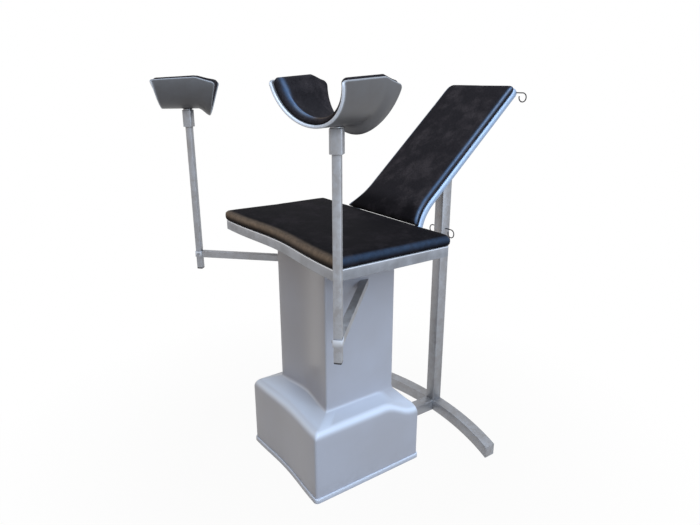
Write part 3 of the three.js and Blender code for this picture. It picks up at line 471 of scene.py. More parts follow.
def colour4(value):
    """A colour with its alpha, or a link as it is."""
    return value if isinstance(value, Socket) else (*value[:3], 1.0)


def tinted(colour, factor, warmth=0.0):
    """A colour made lighter or darker, and warmer or cooler."""
    red, green, blue = colour[:3]
    return red * factor * (1 + warmth), green * factor, blue * factor * (1 - warmth)


# Finishes


def paint_finish(colours):
    """Satin paint: cloudy tone, fine orange-peel surface, patchy painted shade near the floor, where the paint
    is also rougher, and painted highlights of paler paint on the ledge and rounded edges.
    """
    f = Finish("Pedestal paint")
    clouds = f.noise(3.2, 4, 0.55)
    fine = f.noise(60, 3, 0.6)
    peel = f.noise(900, 2, 0.5)
    tone = clouds.ramped(0.3, 0.72)
    # Painted shade: the paint is darkened in patches near the floor, and the same mask makes it rougher there.
    floor_shade = (1 - f.height().ramped(0.0, 0.09)) * f.noise(22, 4, 0.65).ramped(0.35, 0.75)
    base = f.blend(tone, tinted(colours.paint, 0.94, 0.015), tinted(colours.paint, 1.05, -0.01))
    base = f.blend(floor_shade * 0.35, base, tinted(colours.paint, 0.62, 0.04))
    # Painted highlight: paler paint where the piece's rim mark lies, on the ledge, shoulder and bead.
    base = f.blend(f.own("rim"), base, colours.paint_highlight)
    roughness = 0.30 + 0.10 * tone + 0.06 * fine + 0.12 * floor_shade
    normal = f.bump(peel + 0.4 * fine, 0.05, 0.0004)
    coat = {"Coat Weight": 0.25, "Coat Roughness": 0.22}
    return f.done({"Base Color": base, "Roughness": roughness, "Normal": normal, **coat})


def frame_finish(colours):
    """Light satin steel with faint drawing marks, dulled blotches and a painted highlight of light steel colour
    where a piece holds the rim mark, as on the seat frame's bevel.
    """
    f = Finish("Frame steel")
    marks = f.noise(90, 3, 0.6, f.stretched((1, 1, 14)))
    blotch = f.noise(14, 5, 0.62)
    dark, light = tinted(colours.frame_steel, 0.82, 0.02), tinted(colours.frame_steel, 1.16)
    base = f.blend(blotch.ramped(0.35, 0.65), dark, light)
    # Painted highlight: light steel colour where the piece's rim mark lies.
    base = f.blend(f.own("rim"), base, colours.steel_highlight)
    roughness = 0.30 + 0.16 * blotch + 0.08 * marks
    normal = f.bump(marks, 0.03, 0.0002)
    return f.done({"Base Color": base, "Roughness": roughness, "Normal": normal, "Metallic": 0.6})


def rail_finish(colours):
    """Bluish drawn tube with slightly dulled clouds and faint marks."""
    f = Finish("Rail steel")
    cloud = f.noise(12, 4, 0.6)
    marks = f.noise(40, 3, 0.6)
    base = f.blend(cloud.ramped(0.3, 0.7), tinted(colours.rail, 0.94, 0.01), tinted(colours.rail, 1.04))
    return f.done({"Base Color": base, "Roughness": 0.42 + 0.08 * cloud + 0.04 * marks, "Metallic": 0.55})


def galvanised_finish(colours):
    """Zinc-coated steel: crystal patches and clouds of slightly different tone, dark specks, and a painted
    highlight of light steel colour where a piece holds the rim mark.
    """
    f = Finish("Galvanised steel")
    spangle = f.cells(110, output="Color")
    tone = f.add("ShaderNodeSeparateColor", {}, {0: spangle}, 0)
    cloud = f.noise(26, 5, 0.62)
    specks = f.noise(420, 2, 0.7).ramped(0.60, 0.72)
    low = tinted(colours.galvanised, 0.80, 0.02)
    high = tinted(colours.galvanised, 1.16, -0.03)
    base = f.blend((0.55 * cloud.ramped(0.3, 0.7) + 0.45 * tone).clipped(), low, high)
    base = f.blend(specks * 0.35, base, tinted(colours.galvanised, 0.55))
    # Painted highlight: light steel colour where the rim mark lies, as on the collars.
    base = f.blend(f.own("rim"), base, colours.steel_highlight)
    roughness = 0.40 + 0.14 * tone + 0.12 * cloud
    normal = f.bump(cloud + 0.3 * specks, 0.10, 0.0004)
    return f.done({"Base Color": base, "Roughness": roughness, "Normal": normal, "Metallic": 0.75})


def shell_finish(colours):
    """Bent sheet in satin grey with a fine even grain and a painted highlight of light steel colour along its
    edges.
    """
    f = Finish("Trough sheet")
    grain = f.noise(520, 2, 0.6)
    cloud = f.noise(18, 4, 0.6)
    dark, light = tinted(colours.shell, 0.90, 0.02), tinted(colours.shell, 1.10, -0.01)
    base = f.blend(cloud.ramped(0.3, 0.7), dark, light)
    base = f.blend(grain.ramped(0.62, 0.72) * 0.3, base, tinted(colours.shell, 1.5))
    base = f.blend(f.own("rim"), base, colours.steel_highlight)
    roughness = 0.36 + 0.12 * cloud + 0.06 * grain
    normal = f.bump(grain, 0.06, 0.0003)
    return f.done({"Base Color": base, "Roughness": roughness, "Normal": normal, "Metallic": 0.2})


def leather_finish(colours):
    """Near-black leather: pebbled grain, shallow creases, faintly rubbed brownish clouds and a slightly paler
    tone above the seat. Rounded edges are glossier and carry painted highlights, bluish in some places and
    brown in others, from the marks that the pieces hold."""
    f = Finish("Leather")
    wobble = f.noise(70, 3, 0.6)
    pebble = f.cells(520, "SMOOTH_F1")
    crease = f.noise(34, 6, 0.72, f.stretched((1, 1.8, 1.2), (0.3, 0.2, 0.7)))
    rubbed = f.noise(11, 6, 0.7).ramped(0.44, 0.70)
    upper = f.height().ramped(0.86, 0.90)
    base = f.blend(rubbed, tinted(colours.leather, 0.70), tinted(colours.leather, 2.1, 0.06))
    pale = f.blend(rubbed, tinted(colours.upper_leather, 0.75), tinted(colours.upper_leather, 1.65, 0.05))
    base = f.blend(upper, base, pale)
    base = f.blend(pebble.ramped(0.35, 0.6) * 0.45, base, tinted(colours.leather, 0.4))
    patchy = 0.72 + 0.28 * wobble.ramped(0.35, 0.65)
    rim, worn = f.own("rim"), f.own("worn")
    # Painted bluish highlight where the rim mark lies.
    base = f.blend(rim * patchy, base, colours.leather_edge_highlight)
    # Painted brown highlight where the second mark lies.
    base = f.blend(worn * patchy, base, colours.worn_leather)
    roughness = 0.56 + 0.12 * rubbed + 0.10 * wobble
    lined = (crease - 0.5) ** 2
    grain = f.bump(1 - pebble, 0.22, 0.0005)
    folds = f.bump(lined * 9 + wobble * 0.6, 0.22, 0.0016, Normal=grain)
    coat = {"Coat Weight": (rim * 0.9 + worn * 0.35).clipped(), "Coat Roughness": 0.24, "Coat IOR": 1.45}
    return f.done({"Base Color": base, "Roughness": roughness, "Normal": folds, "IOR": 1.05, **coat})


def wood_finish(colours):
    """Plywood: grain lines along X with darker pores."""
    f = Finish("Plywood")
    grain = f.noise(60, 5, 0.6, f.stretched((1, 9, 9)))
    pores = f.noise(700, 1, 0.5, f.stretched((1, 8, 8))).ramped(0.62, 0.70)
    base = f.blend(grain, tinted(colours.wood, 0.7, 0.02), tinted(colours.wood, 1.25))
    base = f.blend(pores * 0.5, base, tinted(colours.wood, 0.4))
    normal = f.bump(grain - pores, 0.15, 0.0004)
    return f.done({"Base Color": base, "Roughness": 0.62 + 0.15 * grain, "Normal": normal})


def nylon_finish(colours):
    """Moulded black nylon with a fine grain."""
    f = Finish("Nylon")
    grain = f.noise(800, 2, 0.6)
    base = f.blend(grain, tinted(colours.nylon, 0.8), tinted(colours.nylon, 1.5))
    normal = f.bump(grain, 0.1, 0.0003)
    return f.done({"Base Color": base, "Roughness": 0.42 + 0.15 * grain, "Normal": normal})


def wire_finish(colours):
    """Dark oxidised wire, rubbed brighter in places."""
    f = Finish("Hook wire")
    rub = f.noise(160, 4, 0.6).ramped(0.5, 0.7)
    base = f.blend(rub, colours.wire, tinted(colours.wire, 3.0))
    return f.done({"Base Color": base, "Roughness": 0.42 - 0.12 * rub, "Metallic": 0.85})


def steel_finish(colours):
    """Plain steel with fine turning marks."""
    f = Finish("Plain steel")
    marks = f.noise(300, 3, 0.6, f.stretched((1, 1, 6)))
    cloud = f.noise(30, 4, 0.6)
    base = f.blend(cloud, tinted(colours.steel, 0.8), tinted(colours.steel, 1.2))
    roughness = 0.34 + 0.16 * cloud
    normal = f.bump(marks, 0.1, 0.0002)
    return f.done({"Base Color": base, "Roughness": roughness, "Normal": normal, "Metallic": 0.85})


MAKERS = {
    "paint": paint_finish,
    "frame_steel": frame_finish,
    "rail": rail_finish,
    "galvanised": galvanised_finish,
    "shell": shell_finish,
    "leather": leather_finish,
    "wood": wood_finish,
    "nylon": nylon_finish,
    "wire": wire_finish,
    "steel": steel_finish,
}
finishes = {}


def finish_for(look):
    """The material of a look, made once."""
    if look not in finishes:
        finishes[look] = MAKERS[look](bpy.context.scene.chair_colours)
    return finishes[look]


# Points of a piece


def points_of(mesh):
    """The points of a mesh as rows of x, y and z."""
    points = np.empty(len(mesh.vertices) * 3)
    mesh.vertices.foreach_get("co", points)
    return points.reshape(-1, 3)


def moved(piece, place):
    """Sends every point of a piece through a function."""
    piece.data.vertices.foreach_set("co", place(points_of(piece.data)).ravel())
    piece.data.update()
    return piece


def marked(piece, name, amount):
    """Stores an amount from 0 to 1 at each point, from a function of the points."""
    amounts = np.clip(amount(points_of(piece.data)), 0, 1)
    stored = piece.data.attributes.new(name, "FLOAT", "POINT")
    stored.data.foreach_set("value", amounts.astype(np.float32))
    return piece


def fitted(points, box):
    """Points stretched along each axis so that they fill a box."""
    low, high = np.array(box[0]), np.array(box[1])
    first, last = points.min(0), points.max(0)
    return low + (points - first) * (high - low) / (last - first)


def swell(piece, cell, free):
    """Swells a closed pad as stuffed cloth: even cells, a cover under pressure, its moves held to a longest.
    free maps the points to 0 where the pad rests on its support and to 1 elsewhere. A quarter of each move
    along X and Y is kept, so that the pad fills out upwards and its outline holds."""
    longest, kept = 0.0035, np.array([0.25, 0.25, 1])
    cells = piece.modifiers.new("Even cells", "REMESH")
    cells.mode = "VOXEL"
    cells.voxel_size = cell
    baked(piece)
    rest = points_of(piece.data)
    cloth = piece.modifiers.new("Stuffed cover", "CLOTH")
    cloth.settings.quality = 5
    cloth.settings.use_pressure = True
    cloth.settings.uniform_pressure_force = 3.0
    cloth.settings.tension_stiffness = 25
    cloth.settings.compression_stiffness = 25
    cloth.settings.effector_weights.gravity = 0
    scene = bpy.context.scene
    last = scene.chair_sizes.cloth_frames
    cloth.point_cache.frame_start, cloth.point_cache.frame_end = 1, last
    for frame in range(1, last + 1):
        scene.frame_set(frame)
    swollen = points_of(piece.evaluated_get(bpy.context.evaluated_depsgraph_get()).data)
    piece.modifiers.clear()
    scene.frame_set(1)
    shift = swollen - rest
    length = np.linalg.norm(shift, axis=1)[:, None]
    shift *= np.minimum(1, longest / np.maximum(length, 1e-9)) * free(rest)[:, None] * kept
    return moved(piece, lambda points: rest + shift)


def smoothed(piece):
    """One finishing subdivision, put into the mesh."""
    finer = piece.modifiers.new("Smooth cover", "SUBSURF")
    finer.levels = finer.render_levels = 1
    return baked(piece)


# Pedestal


def rear_slope(s, y):
    """How far the shoulder has sunk at a place along Y: a smooth step down towards the rear."""
    start, end = 0.060, 0.180
    return s.rear_drop * smoothstep(y, start, end)


def pedestal_ring(s, spread, height, inset=0.0):
    """Outline of the cover at a height, between the column's (spread 0) and the plinth's (spread 1)."""
    pairs = (
        (s.column_width, s.plinth_width),
        (s.column_front, s.plinth_front),
        (s.column_rear, s.plinth_rear),
        (s.column_corner, s.plinth_corner),
        (s.column_bow, s.plinth_bow),
    )
    outline = bowed_outline(*[low + spread * (high - low) for low, high in pairs], inset)
    points = at_height(outline, height)
    slope_whole_above = 0.1
    points[:, 2] -= rear_slope(s, points[:, 1]) * spread * min(height / slope_whole_above, 1)
    return points


def add_pedestal_skin(s):
    """The painted shell: plinth, a shoulder that rounds over, ledge, fillet and column. Each row holds a
    spread, a height and the share of the wall by which the shell's inside lies lower there."""
    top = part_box("pedestal_cover")[1].z
    ledge = s.shoulder_bottom + s.shoulder_rise + s.ledge_rise
    wall, shoulder_pull, fillet_spread = 0.004, 0.38, 0.08
    rows = [(1.0, height, 0.0) for height in np.linspace(0.0, s.shoulder_bottom, 10)[:-1]]
    for angle in quarter_turn(17):
        spread = 1 - shoulder_pull * (1 - math.cos(angle))
        rows.append((spread, s.shoulder_bottom + s.shoulder_rise * math.sin(angle), math.sin(angle)))
    for angle in quarter_turn(12):
        spread = fillet_spread * (1 - math.sin(angle))
        rows.append((spread, ledge + s.fillet_rise * (1 - math.cos(angle)), math.cos(angle)))
    rows += [(0.0, height, 0.0) for height in np.linspace(ledge + s.fillet_rise, top, 20)[1:]]
    outer = [pedestal_ring(s, spread, height) for spread, height, _ in rows]
    inner = [pedestal_ring(s, spread, height - lower * wall, wall) for spread, height, lower in rows]
    piece = new_object(ring_mesh("pedestal_skin", outer + inner[::-1], loop=True))

    def ledge_highlight(points):
        """Painted highlight on ledge and shoulder: strongest where the shoulder turns over, full on the ledge
        in front of the column and half as strong on its sides.
        """
        level = points[:, 2] + rear_slope(s, points[:, 1])
        turned, ledge_end = s.shoulder_bottom + 0.7 * s.shoulder_rise, ledge + 0.002
        band, fade, side_fade = 0.011, 0.01, 0.02
        flat = smoothstep(level, turned, turned + fade) * (1 - smoothstep(level, ledge_end, ledge_end + fade))
        ahead = 0.5 + 0.5 * smoothstep(-points[:, 1], s.column_front, s.column_front + side_fade)
        return np.maximum(hump(level, turned, band), ahead * flat)

    # Painted highlight: the ledge and shoulder are given the paler paint.
    marked(piece, "rim", ledge_highlight)
    finish_piece(piece, "base", "paint", ["pedestal_cover"], 50)


def add_plinth_bead(s):
    """The trim bead round the foot of the plinth, rounded over at its top. Each corner of its profile holds
    how far it stands proud of the plinth and its height."""
    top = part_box("plinth_skirt")[1].z
    gap, proud = 0.0003, 0.0043
    profile = [(gap, 0), (proud, 0), (proud, top - 0.0045), (0.0038, top - 0.0022), (0.0028, top - 0.0006),
               (0.0014, top), (gap, top)]
    rings = []
    for out, level in profile:
        points = pedestal_ring(s, 1.0, 0.0, -out)
        points[:, 2] = level
        rings.append(points)
    piece = new_object(ring_mesh("plinth_bead", rings, loop=True))
    # Painted highlight: the bead grows paler towards its rounded top.
    marked(piece, "rim", lambda points: 0.7 * smoothstep(points[:, 2], 0.004, top))
    finish_piece(piece, "base", "paint", ["plinth_skirt"], 50)


class CHAIR_OT_pedestal(bpy.types.Operator):
    """Adds the painted pedestal cover and the trim bead round its foot"""

    bl_idname = "chair.pedestal"
    bl_label = "Pedestal"

    def execute(self, context):
        add_pedestal_skin(context.scene.chair_sizes)
        add_plinth_bead(context.scene.chair_sizes)
        return {"FINISHED"}


# Seat


def seat_ring(s, corner, inset, height, beyond=0.0, draw_in=0.0):
    """Outline of the seat at a height, further out than the frame by beyond and drawn in by an inset."""
    reaches = (s.seat_width + 2 * beyond, s.seat_front + beyond, s.seat_rear + beyond)
    return at_height(bowed_outline(*reaches, corner, s.seat_bow, inset, draw_in, power=3), height)


def add_seat_frame(s):
    """The angle section round the seat: a profile of insets and heights goes up its outer face, over the bevel
    and back along its inside. A painted highlight lies on the bevel, and shares of it fade down the face."""
    low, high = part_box("seat_frame")
    bevel, edge, wall, flange, corner = s.frame_bevel, 0.0006, 0.003, 0.03, 0.008
    depths = [0.0, bevel * 1.05, bevel + edge, 0.005, 0.010, 0.018]
    highlight_shares = [1.0, 0.95, 0.30, 0.14, 0.06, 0.0]
    profile = [(edge, low.z), (0.0, low.z + edge)]
    profile += [(0.0, high.z - depth) for depth in (*reversed(depths[2:]), bevel)]
    profile += [(bevel * 0.12, high.z - bevel * 0.6), (bevel * 0.4, high.z - bevel * 0.25), (bevel, high.z)]
    profile += [(flange, high.z), (flange, high.z - wall), (wall, high.z - wall), (wall, low.z)]
    rings = [seat_ring(s, corner, inset, height) for inset, height in profile]
    piece = new_object(ring_mesh("seat_frame_angle", rings, loop=True))
    # Painted highlight: full on the bevel, fading down the outer face.
    marked(piece, "rim", lambda points: np.interp(high.z - points[:, 2], depths, highlight_shares))
    finish_piece(piece, "base", "frame_steel", ["seat_frame"], 28)


def add_seat_cushion(s):
    """The seat pad: rows of insets and heights go from the middle of its underside up its side, round its
    upper edge by an arc and over its slightly domed top."""
    low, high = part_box("seat_pad")
    bottom, rise, dome, middle, corner, slack = low.z, 0.033, 0.002, 0.16, 0.006, 0.0008
    rows = [(middle, 0.0), (0.011, 0.0), (0.005, 0.0006), (0.0022, 0.003), (slack, 0.008), (0.0004, 0.014),
            (slack, rise - s.pad_round)]
    for angle in np.linspace(0.25, math.pi / 2, 7):
        rows.append((s.pad_round * (1 - math.cos(angle)) + slack, rise - s.pad_round * (1 - math.sin(angle))))
    for share in (0.12, 0.25, 0.45, 0.7, 0.9):
        rows.append((s.pad_round + share * middle, rise + dome * math.sin(share * math.pi / 2)))
    rings = [seat_ring(s, corner, inset, bottom + height, s.pad_overhang, 0.001) for inset, height in rows]
    piece = new_object(ring_mesh("seat_cushion", rings))
    swell(piece, 0.006, lambda points: smoothstep(points[:, 2], bottom + 0.001, bottom + 0.012))
    smoothed(piece)
    reach = s.seat_width / 2 + s.pad_overhang
    box = ((-reach, -s.seat_front - s.pad_overhang, bottom), (reach, s.seat_rear + s.pad_overhang, high.z))
    moved(piece, lambda points: fitted(points, box))

    def beside(points):
        """Painted bluish highlight on the rounded right and left edges, strongest a little above half height.
        """
        inside = reach - np.abs(points[:, 0])
        return 0.35 * hump(points[:, 2], bottom + 0.022, 0.009) * (1 - smoothstep(inside, 0.004, 0.012))

    def ahead(points):
        """Painted brown highlight on the rounded front edge, strongest a little above half height, and a thin
        painted highlight line along the rear edge.
        """
        x, y, z = points.T
        inside = y + s.seat_front + s.pad_overhang - s.seat_bow * np.cos(math.pi * x / (2 * reach)) ** 3
        front = hump(z, bottom + 0.023, 0.010) * (1 - smoothstep(inside, 0.006, 0.020))
        rear = hump(y, s.seat_rear - 0.003, 0.004) * smoothstep(z, bottom + 0.02, bottom + 0.03)
        return np.maximum(front, rear)

    # Painted bluish highlight on the seat pad's sides.
    marked(piece, "rim", beside)
    # Painted brown highlight on the front edge and a thin painted highlight on the rear edge.
    marked(piece, "worn", ahead)
    finish_piece(piece, "base", "leather", ["seat_pad"])


class CHAIR_OT_seat(bpy.types.Operator):
    """Adds the seat frame with the painted highlight on its bevel and the leather seat pad"""

    bl_idname = "chair.seat"
    bl_label = "Seat"

    def execute(self, context):
        add_seat_frame(context.scene.chair_sizes)
        add_seat_cushion(context.scene.chair_sizes)
        return {"FINISHED"}


# Leg supports and troughs


class CHAIR_OT_leg_supports(bpy.types.Operator):
    """Adds the arms, collars, rods, sleeves and spindles of both leg supports"""

    bl_idname = "chair.leg_supports"
    bl_label = "Leg supports"

    def execute(self, context):
        for word, _ in SIDES:
            for node, body, slot, bevel in [
                ("arm", "base", "galvanised", 0.0018),
                ("collar", "base", "galvanised", 0.0012),
                ("collar_screw", "base", "steel", 0.0005),
                ("rod", f"leg_{word}", "galvanised", 0.0004),
                ("rod_cap", f"leg_{word}", "nylon", 0.0004),
                ("sleeve", f"leg_{word}", "galvanised", 0.0012),
                ("spindle", f"trough_{word}", "steel", 0.0006),
            ]:
                piece = dressed(f"{node}_{word}", body, slot, bevel)
                if node == "collar":
                    low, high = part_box(f"collar_{word}")
                    # Painted highlight on the collar, growing towards its top.
                    marked(piece, "rim", lambda points: smoothstep(points[:, 2], low.z, high.z))
        return {"FINISHED"}


def rounded_patch(width, length, margin, corner, across_steps, along_steps):
    """A grid over a rectangle, as shares from -1 to 1 across and 0 to 1 along, with the distance to its edge.
    Rows gather in the margin by a quarter of a cosine, and the four corners are drawn onto arcs: a point in a
    corner square moves towards its centre so that the square's border becomes the arc."""

    def spaced(count, reach):
        border = margin * (1 - np.cos(quarter_turn(7)))[:-1]
        middle = np.linspace(margin, reach - margin, count)
        return np.concatenate([border, middle, reach - border[::-1]])

    x, y = np.meshgrid(spaced(across_steps, width), spaced(along_steps, length), indexing="ij")
    to_side, to_end = np.minimum(x, width - x), np.minimum(y, length - y)
    u = np.maximum(corner - to_side, 0) / corner
    v = np.maximum(corner - to_end, 0) / corner
    to_arc = np.maximum(u, v) / np.maximum(np.hypot(u, v), 1e-9)
    shrink = np.where(np.minimum(u, v) > 0, to_arc, 1)

    def drawn(value, share, reach):
        kept = corner * (1 - share * shrink)
        return np.where(share > 0, np.where(value < reach / 2, kept, reach - kept), value)

    return 2 * drawn(x, u, width) / width - 1, drawn(y, v, length) / length, np.minimum(to_side, to_end)


def trough_surface(s, across, along, depth, proud=0.0):
    """Points of a trough at a depth above its underside, an arc each way from its bottom line and then
    straight wings. The ends reach further towards the tips with the power 1.5 and further on the outer wing.
    The wings are longest at a corner two thirds of the way back, and proud lengthens them by the eighth power.
    The bottom drops at the rear as a soft lip."""
    front_rake, front_skew, rear_rake, rear_skew = 0.030, 0.011, 0.029, 0.0085
    corner, bend, lip_start, lip_reach = 0.68, math.radians(88.5), 0.034, 0.101
    rake = np.abs(across) ** 1.5
    front = s.trough_front + front_rake * rake + front_skew * across
    rear = s.trough_rear + rear_rake * rake + rear_skew * across
    reach = front - (front + rear) * along
    wing = np.interp(along, [0, corner, 1], [s.trough_wing, s.trough_corner, s.trough_tail])
    length = across * wing + np.sign(across) * proud * across**8
    radius = s.trough_radius
    angle = np.minimum(np.abs(length) / radius, bend)
    straight = np.maximum(np.abs(length) - bend * radius, 0)
    x = radius * np.sin(angle) + straight * math.cos(bend) - depth * np.sin(angle)
    z = radius * (1 - np.cos(angle)) + straight * math.sin(bend) + depth * np.cos(angle)
    drop = s.trough_lip * smoothstep(-reach, lip_start, s.trough_rear) * hump(length, 0, lip_reach)
    return np.stack([np.sign(length) * x, -reach, z - drop], -1)


def on_spindle(s, word, side, local):
    """Points of a trough, mirrored for its side, turned outwards and set on the flange of its spindle."""
    low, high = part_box(f"spindle_{word}")
    centre = (low + high) / 2
    turn, gap = side * s.trough_turn, 0.0003
    x = local[..., 0] * side * math.cos(turn) - local[..., 1] * math.sin(turn) + centre.x
    y = local[..., 0] * side * math.sin(turn) + local[..., 1] * math.cos(turn) + centre.y
    return np.stack([x, y, local[..., 2] + high.z + gap], -1)


def trough_piece(s, kind, word, side, lower, upper):
    """A closed piece of a trough between two grids of points."""
    grids = [on_spindle(s, word, side, grid) for grid in (lower, upper)]
    return new_object(sheet_mesh(f"{kind}_{word}", *grids))


def add_trough_sheet(s, word, side):
    """The bent sheet, whose border is rounded to a half circle. A painted highlight lies along its front end,
    and a weaker one along its other edges."""
    half = s.trough_wall / 2
    length, corner = s.trough_front + s.trough_rear, 0.010
    across, along, edge = rounded_patch(2 * s.trough_wing, length, half, corner, 90, 44)
    fall = half - np.sqrt(np.maximum(half**2 - (half - np.minimum(edge, half)) ** 2, 0))
    lower = trough_surface(s, across, along, fall)
    upper = trough_surface(s, across, along, s.trough_wall - fall)
    piece = trough_piece(s, "trough_sheet", word, side, lower, upper)
    # Painted highlight: full at the front end, three tenths as strong round the other edges.
    front_end = 1 - smoothstep(along * length, 0.0015, 0.0045)
    border = 0.3 * (1 - smoothstep(edge, 0.0010, 0.0035))
    bright = np.maximum(front_end, border).ravel()
    marked(piece, "rim", lambda points: np.concatenate([bright, bright]))
    finish_piece(piece, f"trough_{word}", "shell", [f"trough_shell_{word}"])


def add_trough_cushion(s, word, side):
    """The trough's pad: thicker along a rim a fifth of the way in, rounded over at its border and set back from
    the sheet's ends. The ridge behind its front end is glossier and carries a painted highlight, bluish on the
    inner wing and brown on the outer."""
    round_over, corner, gap, tucked = 0.006, 0.012, 0.0003, 0.002
    length, proud, front_margin, covered = s.trough_front + s.trough_rear, 0.004, 0.045, 0.943
    across, along, edge = rounded_patch(2 * s.trough_wing, length, round_over, corner, 150, 80)
    share = np.minimum(1 - np.abs(across), 2 * np.minimum(along, 1 - along))
    near = np.minimum(edge / round_over, 1)
    depth = s.trough_pad + s.trough_rim * hump(share, 0.2, 0.13)
    depth = depth * (0.35 + 0.65 * np.sqrt(1 - (1 - near) ** 2))
    base = s.trough_wall + gap
    set_back = front_margin + along * covered
    lower = trough_surface(s, across, set_back, base + tucked * (1 - near) ** 2, proud)
    upper = trough_surface(s, across, set_back, base + depth, proud)
    piece = trough_piece(s, "trough_cushion", word, side, lower, upper)
    ridge = hump(along * length, 0.016, 0.0065) * (1 - 0.6 * smoothstep(np.abs(across), 0.93, 1.0))
    inner_wing = smoothstep(-across, -0.05, 0.25)
    nothing = np.zeros(across.size)
    # Painted highlights on the ridge: bluish on the inner wing, brown on the outer.
    glossy, worn = (ridge * inner_wing).ravel(), (0.6 * ridge * (1 - inner_wing)).ravel()
    marked(piece, "rim", lambda points: np.concatenate([nothing, glossy]))
    marked(piece, "worn", lambda points: np.concatenate([nothing, worn]))
    finish_piece(piece, f"trough_{word}", "leather", [f"trough_pad_{word}"], 60)


class CHAIR_OT_troughs(bpy.types.Operator):
    """Adds the bent trough shells and their leather pads"""

    bl_idname = "chair.troughs"
    bl_label = "Leg troughs"

    def execute(self, context):
        for word, side in SIDES:
            add_trough_sheet(context.scene.chair_sizes, word, side)
            add_trough_cushion(context.scene.chair_sizes, word, side)
        return {"FINISHED"}


# Backrest

HINGE_Y, HINGE_Z = 0.200, 0.790
BACKREST_TILT = math.radians(42.6)
BACKREST_FOOT, BACKREST_TOP = 0.018, 0.620


def backrest_place(x, place, plane):
    """Where a point of the backrest lies: place runs up it from the hinge, plane stands square to it."""
    y = HINGE_Y + place * math.cos(BACKREST_TILT) - plane * math.sin(BACKREST_TILT)
    z = HINGE_Z + place * math.sin(BACKREST_TILT) + plane * math.cos(BACKREST_TILT)
    return np.stack(np.broadcast_arrays(x, y, z), -1)


def backrest_width(s, place):
    """Half width of the backrest, which flares with the square of the distance below its lower fifth."""
    flare, flare_top, flare_height = 0.033, 0.123, 0.105
    return s.backrest_half + flare * (np.maximum(flare_top - place, 0) / flare_height) ** 2


def backrest_edge(s, side, inset, radius, top, turns, widest=0.0):
    """One edge up the places of a side and then round the upper corner by an arc, as x and place. Below the
    place called widest it grows no wider."""
    turn = quarter_turn(turns)[1:]
    straight = backrest_width(s, np.maximum(side, widest)) - inset
    x = np.concatenate([straight, s.backrest_half - inset - radius + radius * np.cos(turn)])
    return x, np.concatenate([side, top - radius + radius * np.sin(turn)])


def backrest_ring(s, inset, plane):
    """Outline of the backrest as laid flat (x, place and plane), drawn in by an inset."""
    corner = 0.024
    radius = max(corner - inset, corner / 4)
    bottom, top = BACKREST_FOOT + inset, BACKREST_TOP - inset
    side = bottom + (top - radius - bottom) * np.linspace(0, 1, 60)
    x, place = backrest_edge(s, side, inset, radius, top, 12)
    across = np.linspace(1, -1, 24)[1:-1]
    ring_x = np.concatenate([x, x[-1] * across, -x[::-1], x[0] * -across])
    upper, lower = np.full(across.size, top), np.full(across.size, bottom)
    ring_place = np.concatenate([place, upper, place[::-1], lower])
    return np.column_stack([ring_x, ring_place, np.full(len(ring_x), plane)])


def add_backrest_cushion(s):
    """The backrest's pad, made lying flat and then tilted: rows of insets and heights go from the middle of
    its underside round its edge to the middle of its top."""
    bottom, thick, middle = 0.0295, 0.014, 0.09
    rows = [(middle, 0.0), (0.010, 0.0), (0.003, 0.0004), (0.0010, 0.002), (0.0, 0.0055), (0.0004, 0.0090),
            (0.0020, 0.0118), (0.0050, 0.0136), (0.010, thick), (0.03, thick + 0.001), (0.06, thick + 0.0018),
            (middle, thick + 0.0022)]
    rings = [backrest_ring(s, inset, bottom + level) for inset, level in rows]
    piece = new_object(ring_mesh("backrest_cushion", rings))
    swell(piece, 0.005, lambda points: smoothstep(points[:, 2], bottom + 0.0015, bottom + 0.009))
    smoothed(piece)
    widest = backrest_width(s, BACKREST_FOOT)
    box = ((-widest, BACKREST_FOOT, bottom), (widest, BACKREST_TOP, bottom + thick + 0.005))
    moved(piece, lambda points: fitted(points, box))

    def edge(points):
        """Painted bluish highlight on the rounded edge, strongest where it turns over towards the rail."""
        inside = backrest_width(s, points[:, 1]) - np.abs(points[:, 0])
        return hump(inside, 0.006, 0.0045) * smoothstep(points[:, 2], bottom + 0.008, bottom + 0.013)

    # Painted bluish highlight along the backrest pad's edges.
    marked(piece, "rim", edge)
    moved(piece, lambda points: backrest_place(*points.T))
    finish_piece(piece, "backrest", "leather", ["backrest_pad"])


def add_backrest_tube(s):
    """The rail, a round tube bent round the backrest's edge behind the pad."""
    inset, plane, radius = 0.011, 0.0167, 0.0135
    start, widest, top = 0.016, 0.025, BACKREST_TOP - 0.006
    side = np.concatenate([[start], np.linspace(widest, top - radius, 80)])
    x, place = backrest_edge(s, side, inset, radius, top, 14, widest)
    path = backrest_place(np.concatenate([x, -x[::-1]]), np.concatenate([place, place[::-1]]), plane)
    piece = new_object(sweep_mesh("backrest_tube", path, s.rail_radius, 32))
    finish_piece(piece, "backrest", "frame_steel", ["backrest_rail"], 50, look="rail")


class CHAIR_OT_backrest(bpy.types.Operator):
    """Adds the backrest's leather pad, bent rail, board, cross bars and prop guide"""

    bl_idname = "chair.backrest"
    bl_label = "Backrest"

    def execute(self, context):
        add_backrest_cushion(context.scene.chair_sizes)
        add_backrest_tube(context.scene.chair_sizes)
        for node, slot, bevel in [
            ("backrest_board", "wood", 0.0008),
            ("backrest_crossbar_lower", "frame_steel", 0.002),
            ("backrest_crossbar_upper", "frame_steel", 0.002),
            ("guide_web", "frame_steel", 0.0008),
            ("guide_cheek_right", "frame_steel", 0.001),
            ("guide_cheek_left", "frame_steel", 0.001),
            ("hinge_lug_right", "frame_steel", 0.0006),
            ("hinge_lug_left", "frame_steel", 0.0006),
        ]:
            dressed(node, "backrest", slot, bevel)
        return {"FINISHED"}


# Rear stand and hardware


